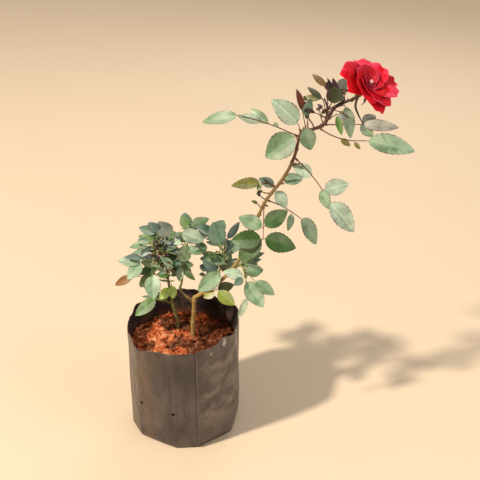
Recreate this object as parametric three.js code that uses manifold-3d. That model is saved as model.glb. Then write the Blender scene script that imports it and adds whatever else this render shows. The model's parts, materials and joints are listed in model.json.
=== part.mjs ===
// A young rose bush in a nursery grow bag: two canes, one of which arches out to a single open
// bloom, with a low bushy crown over the bag and sparse compound leaves along the arching cane.
// Millimetres and degrees. The origin is the centre of the bag's underside, +Z is up, the side
// with the bag's sharp fold looks along -Y and the bloom hangs out along +X. A heading is counted
// from +X towards +Y, and a rise from level upwards.
import * as THREE from 'three';
import { mergeVertices } from 'three/addons/utils/BufferGeometryUtils.js';
import Module from 'manifold-3d';

const wasm = await Module();
wasm.setup();

// Clearance between two pieces that meet
const GAP = 0.3;

// Grow bag: a thin sheet bag with folded corners and a flat bottom
const BAG_RADIUS = 76;
const BAG_HEIGHT = 155;
const BAG_WALL = 1.4;
const BAG_FLOOR = 1.6;
const BAG_FOLDS = [-163, -142, -97, -74, -31, 12, 58, 104, 151];
const BAG_COLUMNS_PER_PANEL = 4;
const BAG_FLATNESS_AT_FLOOR = 0.85;
const BAG_FLATNESS_AT_RIM = 0.4;
// Share of the radius at each height
const BAG_LEVELS = [[0, 0.965], [6, 1], [60, 1.01], [125, 1]];
// Where the rim stands up or sags: heading, rise, width
const RIM_BUMPS = [[150, 5, 9], [222, -10, 12], [20, 10, 18], [-40, 7, 10], [90, 7, 30], [250, -3, 20]];

// Soil: level round the canes, uneven further out
const SOIL_TOP = 125;
// The wall's flat facets cross the soil's, so the soil keeps a little further off it than GAP
const SOIL_CLEARANCE = 0.9;
const SOIL_LEVEL_RADIUS = 36;
const SOIL_UNEVENNESS = 2.5;
const SOIL_MIDDLE_RADIUS = 18;
const SOIL_RINGS = [1, 0.86, 0.68, SOIL_LEVEL_RADIUS / BAG_RADIUS, SOIL_MIDDLE_RADIUS / BAG_RADIUS];

// Canes and boughs: a limb starts at a point or on an earlier limb, and each step of its course
// is a length, a heading and a rise
const LIMB_SIDES = 8;
const STATIONS_PER_STEP = 2;
const LIMBS = [
  {
    name: 'main_cane', start: [12.5, 4, SOIL_TOP + GAP], foot: 2.9, tip: 2.6, colour: 'tan',
    course: [[20, 0, 90], [22, 20, 85], [23, -40, 86]],
  },
  {
    name: 'second_cane', start: [-9.5, 21, SOIL_TOP + GAP], foot: 2.4, tip: 1.9, colour: 'olive',
    course: [[20, 180, 90], [20, 200, 78], [24, 215, 80]],
  },
  {
    name: 'left_bough', on: 'main_cane', at: 0.93, foot: 1.7, tip: 1.3, colour: 'olive',
    course: [[12, 165, 25], [12, 150, 42], [9, 60, 65]],
  },
  {
    name: 'back_bough', on: 'second_cane', at: 0.78, foot: 1.6, tip: 1.2, colour: 'olive',
    course: [[14, 110, 40], [16, 100, 55]],
  },
  {
    name: 'arching_cane_low', on: 'main_cane', at: 1, foot: 2.5, tip: 2.2, colour: 'tan',
    course: [[15, -9, 37], [30, -10, 40], [37, -10, 53], [22, -11, 63], [29, -12, 71]],
  },
  {
    name: 'arching_cane_middle', on: 'arching_cane_low', at: 1, foot: 2.1, tip: 2, colour: 'lime',
    course: [[25, -7, 71], [22, -7, 67], [34, 0, 55]],
  },
  {
    name: 'arching_cane_high', on: 'arching_cane_middle', at: 1, foot: 2, tip: 1.8, colour: 'russet',
    course: [[19, 6, 62], [20, 8, 70], [15, 18, 79], [11, 18, 74]],
  },
  {
    name: 'flower_stalk', on: 'arching_cane_high', at: 1, foot: 1.8, tip: 1.4, colour: 'russet',
    course: [[16, 7, 11], [12, 10, 24], [25, 4, 58], [22, -6, 28], [5, -30, 40]],
  },
  {
    name: 'right_bough', on: 'arching_cane_low', at: 0.1, foot: 1.5, tip: 1.1, colour: 'olive',
    course: [[14, 60, 30], [16, 50, 50]],
  },
];

// Leaves: blades on three-sided stalks
const BLADE_BREADTH = 0.6;
// Where the outline bends: share of the length, and of the half breadth
const BLADE_OUTLINE = [[0.36, 0.95], [0.72, 0.78]];
const BLADE_LEAST_THICKNESS = 0.6;
const BLADE_LENGTHS_PER_THICKNESS = 80;
// Fold along the midrib in degrees, with its spread as a share, and droop as a share of the length
const BLADE_FOLD = 14;
const BLADE_FOLD_SPREAD = 0.5;
const BLADE_CURL = 0.1;
// How far a blade's face turns off its spray's plane, as a slope
const BLADE_TWIST = 0.22;
const STALK_FOOT = 1.1;
const STALK_TIP = 0.8;
const STALK_STEPS = 3;
const LONG_STALK = 15;
// Length at a stalk's foot that may run into the limb that bears it, and its most as a share
const STALK_ROOT = 4;
const STALK_ROOT_SHARE = 0.9;
const BLADE_STALK = 3;
const BLADE_STALK_RADIUS = 0.7;
// Depth to which a blade's stalk is sunk into its rachis
const BLADE_ROOT = 1.2;
// Leans out of the spray's plane that a blade tries in turn, to find room
const BLADE_LEANS = [0, 14, -14, 28, -28];

const STEM_SIDES = 5;
const STEM_TAPER = 0.7;

// Masses and sprays of leaves. A spray leaves its stem at a share of the stem's length, and lies
// on a plane whose upper side looks along face: heading and rise. In that plane a bearing of 0 is
// level to the right and 90 is up the slope: the rachis starts on the bearing aim, is reach long
// and turns by bend, sinks by sag and leans off the plane by out. Each blade is given by its place
// along the rachis, its bearing, its length and, where it isn't the usual one, its breadth as a
// share of that length.
const MASSES = [
  {
    name: 'hanging_leaf', on: 'arching_cane_middle', at: 0.52, sprays: [{
      face: [-90, 35], aim: 271, reach: 43,
      blades: [[0.7, 154, 34], [0.66, 38, 36], [1, 185, 40], [0.98, -13, 42], [1, 217, 42]],
    }],
  },
  {
    name: 'swinging_leaf', on: 'arching_cane_middle', at: 0.6, sprays: [{
      face: [-50, 35], aim: -30, bend: -14, reach: 54, sag: 6,
      blades: [[1, -62, 44, 0.58], [0.74, -118, 24, 0.42]],
    }],
  },
  {
    name: 'shining_leaf', on: 'arching_cane_middle', at: 0.75, sprays: [{
      face: [-70, 40], aim: 40, reach: 4, blades: [[1, -57, 27, 0.66]],
    }],
  },
  {
    name: 'side_left_leaf', on: 'arching_cane_middle', at: 0.85, sprays: [{
      face: [-95, 60], aim: 170, reach: 18,
      blades: [[1, 180, 39, 0.5], [0.3, 160, 20], [0.95, 230, 10]],
    }],
  },
  {
    name: 'side_right_leaf', on: 'arching_cane_middle', at: 0.93, sprays: [{
      face: [-75, 65], aim: -5, reach: 5, blades: [[1, 24, 30, 0.62]],
    }],
  },
  {
    name: 'drooping_leaf', on: 'arching_cane_high', at: 0.5, sprays: [{
      face: [-80, 30], aim: -42, bend: -18, reach: 69, sag: 8,
      blades: [[0.48, 144, 29], [0.77, 12, 34], [0.72, -71, 28, 0.5], [1, -49, 50, 0.52]],
    }],
  },
  {
    name: 'lower_left_leaf', on: 'arching_cane_high', at: 0.8, sprays: [{
      face: [-95, 35], aim: 111, reach: 8, blades: [[1, 218, 45, 0.72]],
    }],
  },
  {
    name: 'top_left_leaf', on: 'arching_cane_high', at: 0.9, sprays: [{
      face: [-100, 35], aim: 160, bend: 12, reach: 79,
      blades: [[1, 192, 49, 0.34], [0.61, 170, 33, 0.38], [0.5, 148, 31, 0.4], [0.34, 140, 10]],
    }],
  },
  {
    name: 'pale_top_leaf', on: 'arching_cane_high', at: 0.97, sprays: [{
      face: [-75, 30], aim: 100, reach: 10, blades: [[1, 129, 43, 0.66]],
    }],
  },
  {
    name: 'green_front_leaf', on: 'flower_stalk', at: 0.04, sprays: [{
      face: [-80, 30], aim: 106, reach: 8, out: 50, blades: [[1, -69, 29, 0.75]],
    }],
  },
  {
    name: 'brown_top_leaf', on: 'flower_stalk', at: 0.08, young: true, sprays: [{
      face: [-60, 25], aim: 96, reach: 22,
      blades: [[1, 92, 28, 0.35], [0.75, 60, 23, 0.55]],
    }],
  },
  {
    name: 'young_shoot', on: 'flower_stalk', at: 0.38, young: true, stemRadius: 1.2,
    stem: [[16, 60, 70], [14, 150, 70]],
    sprays: [
      { at: 0.3, face: [-90, 30], aim: 105, reach: 20, blades: [[1, 178, 28, 0.3], [0.9, 141, 25, 0.3]] },
      { at: 0.6, face: [-80, 35], aim: 88, reach: 24, blades: [[1, 134, 24, 0.35], [0.76, 75, 15, 0.7]] },
      { at: 0.5, face: [-85, 30], aim: 25, reach: 15, out: 58, blades: [[1, 92, 23, 0.9]] },
      {
        at: 0.5, face: [-70, 35], aim: 48, reach: 24, out: 20,
        blades: [[1, 41, 24, 0.6], [0.86, -40, 14, 0.7]],
      },
    ],
  },
  {
    name: 'folded_light_leaf', on: 'flower_stalk', at: 0.66, sprays: [{
      face: [-70, 30], aim: 7, reach: 12, blades: [[1, -79, 40, 0.42]],
    }],
  },
  {
    name: 'narrow_dark_leaf', on: 'flower_stalk', at: 0.42, sprays: [{
      face: [-100, 30], aim: 38, reach: 14, blades: [[1, -68, 25, 0.35], [1, -9, 16, 0.6]],
    }],
  },
  {
    name: 'top_right_leaf', on: 'flower_stalk', at: 0.34, sprays: [{
      face: [-72, 40], aim: -4, reach: 47,
      blades: [[1, 25, 24, 0.6], [1, -11, 46, 0.32], [0.95, -43, 23, 0.6]],
    }],
  },
  {
    name: 'far_right_leaf', on: 'flower_stalk', at: 0.26, sprays: [{
      face: [-90, 40], aim: -36, bend: 44, reach: 60,
      blades: [[1, -6, 59, 0.44], [0.47, -31, 16, 0.5], [0.75, -50, 13, 0.4]],
    }],
  },
  {
    name: 'low_left_mass', on: 'second_cane', at: 1, stemRadius: 1.7,
    stem: [[34, 230, 80], [28, 190, 72], [22, 160, 66]],
    sprays: [
      {
        at: 0.3, face: [-90, 30], aim: 159, reach: 27, out: 45,
        blades: [[1, -92, 33, 0.7], [1, 235, 33, 0.6], [0.83, -1, 18, 0.5]],
      },
      {
        at: 0.45, face: [-105, 45], aim: 175, reach: 34, out: 35,
        blades: [[1, 235, 29, 0.62], [1, 183, 33, 0.5], [0.37, 151, 29, 0.5], [0.3, 198, 26, 0.6]],
      },
      {
        at: 0.7, face: [-110, 45], aim: 140, reach: 23, out: 30,
        blades: [[1, 177, 22, 0.45], [1, 206, 29, 0.45], [0.7, 230, 21, 0.4]],
      },
      { at: 0.8, face: [-80, 35], aim: 41, reach: 25, out: 20, blades: [[1, 118, 28, 0.8]] },
      {
        at: 0.9, face: [-85, 35], aim: 77, reach: 19, out: 20,
        blades: [[1, 132, 18, 0.8], [1, 166, 26, 0.5]],
      },
      { at: 0.25, face: [-110, 30], aim: 185, reach: 45, out: 30, blades: [[1, 214, 33, 0.42]] },
      {
        at: 0.5, face: [-80, 40], aim: 6, reach: 20, out: 45,
        blades: [[1, 179, 20, 0.5], [0.95, 143, 23, 0.45], [0.57, 209, 17, 0.5]],
      },
    ],
    fill: { count: 2, first: 100, turn: -60, rise: 25, reach: 24, blade: 29, pairs: 1, seed: 7 },
  },
  {
    name: 'low_front_mass', on: 'second_cane', at: 0.72, stemRadius: 1.2,
    stem: [[10, 200, 35], [9, 190, 30]],
    sprays: [
      { at: 0.95, face: [-100, 45], aim: 186, reach: 7, out: 30, blades: [[1, 224, 36, 0.5]] },
      {
        at: 0.6, face: [-80, 30], aim: 68, reach: 28, out: 40,
        blades: [[1, -87, 20, 0.6], [0.83, 225, 22, 0.6]],
      },
    ],
    fill: { count: 1, first: 190, turn: -50, rise: 10, reach: 18, blade: 20, pairs: 1, seed: 19 },
  },
  {
    name: 'low_top_mass', on: 'left_bough', at: 1, stemRadius: 1.3,
    stem: [[33, 0, 82], [28, 40, 76]],
    sprays: [
      {
        at: 0.3, face: [-95, 35], aim: 107, reach: 10, out: 40,
        blades: [[1, -45, 27, 0.36], [1, 268, 22, 0.5], [1, -17, 15, 0.5]],
      },
      { at: 0.4, face: [-85, 30], aim: 109, reach: 8, out: 40, blades: [[1, 77, 25, 0.72]] },
      {
        at: 0.7, face: [-80, 45], aim: 102, reach: 15, out: 35,
        blades: [[0.94, 163, 21, 0.4], [0.67, -22, 26, 0.45]],
      },
      { at: 0.85, face: [-80, 45], aim: 111, reach: 23, out: 25, blades: [[1, -26, 33, 0.62]] },
      { at: 0.95, face: [-80, 35], aim: 80, reach: 21, blades: [[1, 24, 29, 0.5], [0.98, 125, 18, 0.8]] },
    ],
    fill: { count: 2, first: 35, turn: 70, rise: 30, reach: 22, blade: 30, pairs: 1, seed: 3 },
  },
  {
    name: 'low_back_mass', on: 'back_bough', at: 1, stemRadius: 1.1,
    stem: [[24, 120, 65], [22, 160, 70]],
    sprays: [],
    fill: { count: 5, first: 30, turn: 38, rise: 15, reach: 28, blade: 32, pairs: 1, seed: 5 },
  },
  {
    name: 'middle_mass', on: 'arching_cane_low', at: 0.2, stemRadius: 1.4,
    stem: [[24, 5, 64], [22, 20, 66], [20, 150, 78]],
    sprays: [
      {
        at: 0.06, face: [-90, 35], aim: -26, reach: 15, out: 45,
        blades: [[0.89, 216, 20, 0.7], [1, -37, 30, 0.6], [0.84, 18, 24, 0.6]],
      },
      {
        at: 0.35, face: [-80, 30], aim: 40, reach: 10, out: 45,
        blades: [[1, 220, 40, 0.55], [0.3, 138, 28, 0.45]],
      },
      {
        at: 0.5, face: [-90, 45], aim: 21, reach: 11, out: 35,
        blades: [[1, 168, 33, 0.42], [1, 139, 22, 0.5]],
      },
      { at: 0.6, face: [-80, 25], aim: 48, reach: 11, out: 20, blades: [[0.9, 80, 23, 0.5]] },
      { at: 0.75, face: [-80, 25], aim: 77, reach: 22, out: 10, blades: [[1, 43, 27, 0.35]] },
      { at: 0.85, face: [-85, 30], aim: 114, reach: 9, out: 15, blades: [[1, 104, 32, 0.75]] },
    ],
    fill: { count: 2, first: 60, turn: 60, rise: 30, reach: 22, blade: 29, pairs: 1, seed: 13 },
  },
  {
    name: 'right_mass', on: 'arching_cane_low', at: 0.62, stemRadius: 1.2,
    stem: [[14, -60, 5], [14, -50, -35]],
    sprays: [
      { at: 0.9, face: [-80, 35], aim: 252, reach: 9, out: 20, blades: [[1, -58, 41, 0.56]] },
      { at: 0.75, face: [-80, 35], aim: -60, reach: 17, out: 20, blades: [[1, -45, 31, 0.5]] },
      { at: 0.7, face: [-75, 20], aim: -91, reach: 34, out: 10, blades: [[1, 245, 31, 0.3]] },
      {
        at: 0.6, face: [-90, 45], aim: -94, reach: 15, out: 25,
        blades: [[0.91, 160, 27, 0.55], [1, 213, 17, 0.6]],
      },
      {
        at: 0.5, face: [-90, 45], aim: -79, reach: 10, out: 20,
        blades: [[0.9, 7, 25, 0.68], [0.3, 35, 16, 0.5]],
      },
      { at: 0.1, face: [-95, 35], aim: -61, reach: 6, out: 20, blades: [[1, 45, 19, 0.6]] },
    ],
    fill: { count: 1, first: 10, turn: 45, rise: 15, reach: 16, blade: 24, pairs: 1, seed: 23 },
  },
  {
    name: 'right_back_mass', on: 'right_bough', at: 1, stemRadius: 1,
    stem: [[20, 40, 65], [18, 10, 70]],
    sprays: [],
    fill: { count: 4, first: -10, turn: 45, rise: 15, reach: 26, blade: 30, pairs: 1, seed: 29 },
  },
];
// How far a spray's plane strays from its heading and rise
const FACE_WANDER = 9;

// Filled sprays: how far each strays, where it may leave its stem, how far it sags, and its side
// blades' place, angle and size, with the change from one pair to the next
const FILL_HEADING_SPREAD = 12;
const FILL_RISE_SPREAD = 18;
const FILL_SIZE_SPREAD = 0.15;
const FILL_REACH_SPREAD = 0.2;
const FILL_STEM_FROM = 0.25;
const FILL_STEM_SPAN = 0.72;
const FILL_SAG = 8;
const PAIR_AT = 0.88;
const PAIR_STEP = 0.4;
const PAIR_ANGLE = 58;
const PAIR_ANGLE_SPREAD = 6;
const PAIR_SIZE = 0.92;
const PAIR_SHRINK = 0.16;

// Bloom: the axis along which it opens, and its hip
const BLOOM_HEADING = -50;
const BLOOM_RISE = 47;
const HIP_RADIUS = 4;
const HIP_LENGTH = 14;
const HIP_SINK = 3;
// The hip's outline: share of its radius, and height as a share of its length
const HIP_PROFILE = [[0, -1], [0.4, -1], [0.8, -0.75], [1, -0.4], [0.85, 0], [0, 0]];
const HIP_SIDES = 8;

// Petals: the turn round the axis at which each stands, its length and width, and the angles from
// the axis at which it starts and ends. The outer five lie open, the next four stand half open and
// the last five hold the heart.
const PETALS = [
  [174, 36.5, 32, 45, 96], [115, 31, 34, 45, 96], [36, 35, 38, 45, 96], [-66, 36, 34, 50, 98],
  [-112, 31, 52, 38, 76], [71, 30, 34, 34, 82], [-6, 35, 36, 38, 86], [-40, 33, 34, 44, 92],
  [205, 31, 34, 46, 90], [20, 19, 22, 22, 64], [92, 19, 22, 22, 66], [164, 15, 20, 22, 62],
  [236, 13, 18, 20, 56], [308, 15, 20, 22, 62],
];
const PETAL_THICKNESS = 0.8;
const PETAL_CELLS = 3;
const PETAL_SAMPLES = 8;
// Radius from which the petals spring, and how much wider than their own start angle they do so
const PETAL_ROOT = 5.5;
const PETAL_ROOT_SPREAD = 12;
// One side of a petal leans out by this angle and the other in
const PETAL_SKEW = 7;
// A petal's half width follows a sine from its root by this span of a half turn, to a power
const PETAL_OUTLINE_ROOT = 0.08;
const PETAL_OUTLINE_SPAN = 0.76;
const PETAL_OUTLINE_POWER = 0.8;
// Least radius round which a petal is bent, as a share of its width
const PETAL_LEAST_BEND = 0.36;
// The heart is a blunt bud: radius, height of its middle and stretch along the axis
const BLOOM_HEART_RADIUS = 7.5;
const BLOOM_HEART_HEIGHT = 6;
const BLOOM_HEART_STRETCH = 1.4;

const COLOURS = {
  bag: [0x3a3431, 0.55], soil: [0x8a4a30, 0.95],
  tan: [0xb08a45, 0.7], olive: [0x6f7038, 0.7], lime: [0x98a040, 0.65], russet: [0x6d4326, 0.65],
  leaf: [0x5f8f6a, 0.5], young: [0x6a4636, 0.5], petal: [0xc8102e, 0.5],
};

const UP = new THREE.Vector3(0, 0, 1);

const radians = THREE.MathUtils.degToRad;

function direction(heading, rise) {
  const [h, r] = [radians(heading), radians(rise)];
  return new THREE.Vector3(Math.cos(h) * Math.cos(r), Math.sin(h) * Math.cos(r), Math.sin(r));
}

// A repeatable series of numbers from -1 to 1
function seededSeries(seed) {
  const [multiplier, modulus] = [48271, 2147483647];
  let state = seed * 9973 + 1;
  return () => {
    state = (state * multiplier) % modulus;
    return (2 * state) / modulus - 1;
  };
}

function geometryOf(points, triangles) {
  const geometry = new THREE.BufferGeometry().setFromPoints(points);
  geometry.setIndex(triangles.flat());
  return geometry;
}

// A closed solid through rings of points, each ring running anticlockwise as seen from the next,
// with a point at each end
function ringedGeometry(first, rings, last) {
  const points = [first, ...rings.flat(), last];
  const columns = rings[0].length;
  const at = (ring, column) => 1 + ring * columns + (column % columns);
  const triangles = [];
  for (let column = 0; column < columns; column += 1) {
    triangles.push([0, at(0, column + 1), at(0, column)]);
    triangles.push([points.length - 1, at(rings.length - 1, column), at(rings.length - 1, column + 1)]);
    for (let ring = 0; ring < rings.length - 1; ring += 1) {
      const [a, b] = [at(ring, column), at(ring, column + 1)];
      const [c, d] = [at(ring + 1, column + 1), at(ring + 1, column)];
      triangles.push([a, b, c], [a, c, d]);
    }
  }
  return geometryOf(points, triangles);
}

// Booleans

function solidOf(geometry) {
  const bare = geometry.clone();
  bare.deleteAttribute('normal');
  bare.deleteAttribute('uv');
  const merged = mergeVertices(bare, 1e-4);
  return new wasm.Manifold(new wasm.Mesh({
    numProp: 3,
    vertProperties: merged.getAttribute('position').array,
    triVerts: new Uint32Array(merged.index.array),
  }));
}

function geometryFromSolid(solid) {
  const mesh = solid.getMesh();
  const geometry = new THREE.BufferGeometry();
  geometry.setAttribute('position', new THREE.BufferAttribute(mesh.vertProperties, mesh.numProp));
  geometry.setIndex(new THREE.BufferAttribute(mesh.triVerts, 1));
  return geometry;
}

function largestBody(solid) {
  return solid.decompose().reduce((best, body) => (body.volume() > best.volume() ? body : best));
}

function boxOf(solid) {
  const { min, max } = solid.boundingBox();
  return new THREE.Box3(new THREE.Vector3(...min), new THREE.Vector3(...max));
}

// Others are pairs of a solid and its box
function touchesAny(solid, others) {
  const box = boxOf(solid);
  return others.filter((other) => box.intersectsBox(other.box)).some((other) => {
    const shared = solid.intersect(other.solid);
    const touches = !shared.isEmpty();
    shared.delete();
    return touches;
  });
}

function boxed(solid) {
  return { solid, box: boxOf(solid) };
}

// Grow bag and soil

function bagHeadings() {
  return BAG_FOLDS.flatMap((fold, i) => {
    const next = i + 1 < BAG_FOLDS.length ? BAG_FOLDS[i + 1] : BAG_FOLDS[0] + 360;
    return Array.from({ length: BAG_COLUMNS_PER_PANEL }, (_, k) => ({
      heading: fold + ((next - fold) * k) / BAG_COLUMNS_PER_PANEL,
      half: (next - fold) / 2,
      middle: (next + fold) / 2,
    }));
  });
}

function levelShare(z) {
  const above = BAG_LEVELS.findIndex(([level]) => level >= z);
  if (above < 0) return BAG_LEVELS.at(-1)[1];
  if (above === 0) return BAG_LEVELS[0][1];
  const [[z0, s0], [z1, s1]] = [BAG_LEVELS[above - 1], BAG_LEVELS[above]];
  return s0 + ((s1 - s0) * (z - z0)) / (z1 - z0);
}

// One point of the bag's outer wall, moved in by inset
function bagPoint({ heading, half, middle }, z, inset = 0) {
  const flatness = THREE.MathUtils.lerp(BAG_FLATNESS_AT_FLOOR, BAG_FLATNESS_AT_RIM, z / BAG_HEIGHT);
  const chord = Math.cos(radians(half)) / Math.cos(radians(heading - middle));
  const radius = BAG_RADIUS * levelShare(z) * (1 + (chord - 1) * flatness) - inset;
  return new THREE.Vector3(radius * Math.cos(radians(heading)), radius * Math.sin(radians(heading)), z);
}

function rimHeight(heading) {
  return RIM_BUMPS.reduce((height, [centre, rise, width]) => {
    const away = THREE.MathUtils.euclideanModulo(heading - centre + 180, 360) - 180;
    return height + rise * Math.exp(-((away / width) ** 2));
  }, BAG_HEIGHT);
}

function growBag() {
  const columns = bagHeadings();
  const heights = BAG_LEVELS.map(([z]) => z);
  const outer = heights.map((z) => columns.map((column) => bagPoint(column, z)));
  const rim = (inset) => columns.map((column) => {
    const height = rimHeight(column.heading);
    return bagPoint(column, height, inset);
  });
  const innerHeights = [...heights.slice(1).reverse(), BAG_FLOOR];
  const inner = innerHeights.map((z) => columns.map((column) => bagPoint(column, z, BAG_WALL)));
  return ringedGeometry(
    new THREE.Vector3(0, 0, 0),
    [...outer, rim(0), rim(BAG_WALL), ...inner],
    new THREE.Vector3(0, 0, BAG_FLOOR),
  );
}

function soilBody() {
  const columns = bagHeadings();
  const inset = BAG_WALL + SOIL_CLEARANCE;
  const heights = [BAG_FLOOR + GAP, ...BAG_LEVELS.slice(1).map(([z]) => z)];
  const sides = heights.map((z) => columns.map((column) => bagPoint(column, z, inset)));
  const wander = seededSeries(2);
  const tops = SOIL_RINGS.slice(1).map((share) => columns.map((column) => {
    const point = bagPoint(column, SOIL_TOP, inset);
    const uneven = share * BAG_RADIUS > SOIL_LEVEL_RADIUS ? SOIL_UNEVENNESS * wander() : 0;
    return new THREE.Vector3(point.x * share, point.y * share, SOIL_TOP + uneven);
  }));
  return ringedGeometry(
    new THREE.Vector3(0, 0, BAG_FLOOR + GAP),
    [...sides, ...tops],
    new THREE.Vector3(0, 0, SOIL_TOP),
  );
}

// Limbs

function courseFrom(start, course) {
  const points = [start.clone()];
  course.forEach(([length, heading, rise]) => {
    points.push(points.at(-1).clone().addScaledVector(direction(heading, rise), length));
  });
  return new THREE.CatmullRomCurve3(points, false, 'centripetal');
}

// A tapering tube of flat sides along a curve. Grown by grow all round, it is the space that
// other pieces keep out of.
function tubeGeometry(curve, stations, sides, footRadius, tipRadius, grow = 0, levelFoot = false) {
  const rings = [];
  let side = new THREE.Vector3(0, 1, 0);
  for (let i = 0; i <= stations; i += 1) {
    const share = i / stations;
    const tangent = levelFoot && i === 0 ? UP.clone() : curve.getTangentAt(share);
    if (Math.abs(side.dot(tangent)) > 0.9) side = new THREE.Vector3(1, 0, 0);
    side = side.clone().addScaledVector(tangent, -side.dot(tangent)).normalize();
    const over = new THREE.Vector3().crossVectors(tangent, side);
    const centre = curve.getPointAt(share);
    if (i === 0) centre.addScaledVector(tangent, -grow);
    if (i === stations) centre.addScaledVector(tangent, grow);
    const radius = THREE.MathUtils.lerp(footRadius, tipRadius, share) + grow;
    rings.push(Array.from({ length: sides }, (_, k) => {
      const turn = (2 * Math.PI * k) / sides;
      return centre.clone()
        .addScaledVector(side, radius * Math.cos(turn))
        .addScaledVector(over, radius * Math.sin(turn));
    }));
  }
  const middleOf = (ring) => ring.reduce((sum, p) => sum.add(p), new THREE.Vector3()).divideScalar(sides);
  return ringedGeometry(middleOf(rings[0]), rings, middleOf(rings.at(-1)));
}

function growLimbs() {
  const limbs = {};
  LIMBS.forEach((plan) => {
    const parent = limbs[plan.on];
    const start = parent ? parent.curve.getPointAt(plan.at) : new THREE.Vector3(...plan.start);
    const curve = courseFrom(start, plan.course);
    const stations = plan.course.length * STATIONS_PER_STEP;
    const tube = (grow) => solidOf(
      tubeGeometry(curve, stations, LIMB_SIDES, plan.foot, plan.tip, grow, !parent),
    );
    const cleared = Object.values(limbs).reduce((solid, other) => solid.subtract(other.space), tube(0));
    limbs[plan.name] = { ...plan, curve, solid: largestBody(cleared), space: tube(GAP) };
  });
  return limbs;
}

// Leaves

// A folded, slightly curled blade with a pointed tip, on a narrow stalk of its own. Its foot is
// at the origin and it points along +X.
function bladeGeometry(length, breadth, fold, curl, thickness) {
  const half = (length * breadth) / 2;
  const lift = Math.tan(radians(fold));
  const place = (share, side) => new THREE.Vector3(
    share * length,
    side * half,
    Math.abs(side) * half * lift - curl * length * share * share,
  );
  const [stalk, stalkSide] = [BLADE_STALK / length, BLADE_STALK_RADIUS / half];
  const [[wide, wideSide], [narrow, narrowSide]] = BLADE_OUTLINE;
  const top = [
    place(0, 0), place(stalk, -stalkSide), place(wide, -wideSide), place(narrow, -narrowSide),
    place(1, 0), place(narrow, narrowSide), place(wide, wideSide), place(stalk, stalkSide),
    place(wide, 0), place(narrow, 0),
  ];
  const upper = [
    [0, 1, 7], [1, 8, 7], [1, 2, 8], [8, 6, 7], [2, 9, 8],
    [2, 3, 9], [8, 9, 6], [9, 5, 6], [3, 4, 9], [9, 4, 5],
  ];
  const [count, border] = [top.length, 8];
  const under = top.map((p) => p.clone().setZ(p.z - thickness));
  const lower = upper.map(([a, b, c]) => [a + count, c + count, b + count]);
  const edges = Array.from({ length: border }, (_, a) => {
    const b = (a + 1) % border;
    return [[a, a + count, b + count], [a, b + count, b]];
  }).flat();
  return geometryOf([...top, ...under], [...upper, ...lower, ...edges]);
}

function placed(geometry, along, normal, origin) {
  const across = new THREE.Vector3().crossVectors(normal, along).normalize();
  const over = new THREE.Vector3().crossVectors(along, across);
  const matrix = new THREE.Matrix4().makeBasis(along, across, over).setPosition(origin);
  return geometry.applyMatrix4(matrix);
}

// The two directions that span a plane: level to the right of one who looks at it, and upslope
function planeOf([heading, rise]) {
  const normal = direction(heading, rise);
  const right = new THREE.Vector3().crossVectors(UP, normal).normalize();
  return { normal, right, upslope: new THREE.Vector3().crossVectors(normal, right) };
}

function onPlane({ right, upslope }, bearing) {
  return right.clone().multiplyScalar(Math.cos(radians(bearing)))
    .addScaledVector(upslope, Math.sin(radians(bearing)));
}

// The pieces of one compound leaf, each with the space that it needs
function sprayPieces(start, spray, wander) {
  const plane = planeOf([spray.face[0] + FACE_WANDER * wander(), spray.face[1] + FACE_WANDER * wander()]);
  const points = [start.clone()];
  const steps = spray.reach > LONG_STALK ? STALK_STEPS : 1;
  for (let i = 0; i < steps; i += 1) {
    const share = (i + 0.5) / steps;
    const step = onPlane(plane, spray.aim + (spray.bend ?? 0) * share)
      .addScaledVector(plane.normal, Math.tan(radians(spray.out ?? 0)))
      .addScaledVector(UP, -Math.tan(radians(spray.sag ?? 0)) * share)
      .normalize();
    points.push(points.at(-1).clone().addScaledVector(step, spray.reach / steps));
  }
  const rachis = new THREE.CatmullRomCurve3(points, false, 'centripetal');
  const clearOfRoot = rachis.getPointAt(Math.min(STALK_ROOT_SHARE, STALK_ROOT / spray.reach));
  const twig = {
    solid: solidOf(tubeGeometry(rachis, steps, 3, STALK_FOOT, STALK_TIP)),
    space: solidOf(tubeGeometry(
      new THREE.LineCurve3(clearOfRoot, rachis.getPointAt(1)), 1, 3, STALK_FOOT, STALK_TIP, GAP,
    )),
  };
  const blades = spray.blades.map(([share, bearing, length, breadth = BLADE_BREADTH]) => {
    const level = onPlane(plane, bearing);
    const twist = [BLADE_TWIST * wander(), BLADE_TWIST * wander()];
    const thickness = Math.max(BLADE_LEAST_THICKNESS, length / BLADE_LENGTHS_PER_THICKNESS);
    const fold = BLADE_FOLD * (1 + BLADE_FOLD_SPREAD * wander());
    const curl = BLADE_CURL * (1 + wander());
    const foot = rachis.getPointAt(share);
    return (lean) => {
      const along = level.clone().addScaledVector(plane.normal, Math.tan(radians(lean))).normalize();
      const normal = plane.normal.clone()
        .addScaledVector(plane.right, twist[0])
        .addScaledVector(plane.upslope, twist[1]);
      const blade = (clearOfFoot, grow) => solidOf(placed(
        bladeGeometry(length + BLADE_ROOT - clearOfFoot + grow, breadth, fold, curl, thickness + 2 * grow),
        along,
        normal,
        foot.clone().addScaledVector(along, clearOfFoot - BLADE_ROOT)
          .addScaledVector(normal, thickness / 2 + grow),
      ));
      return { solid: blade(0, 0), space: blade(BLADE_STALK, 2 * GAP) };
    };
  });
  return { twig, blades };
}

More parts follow.
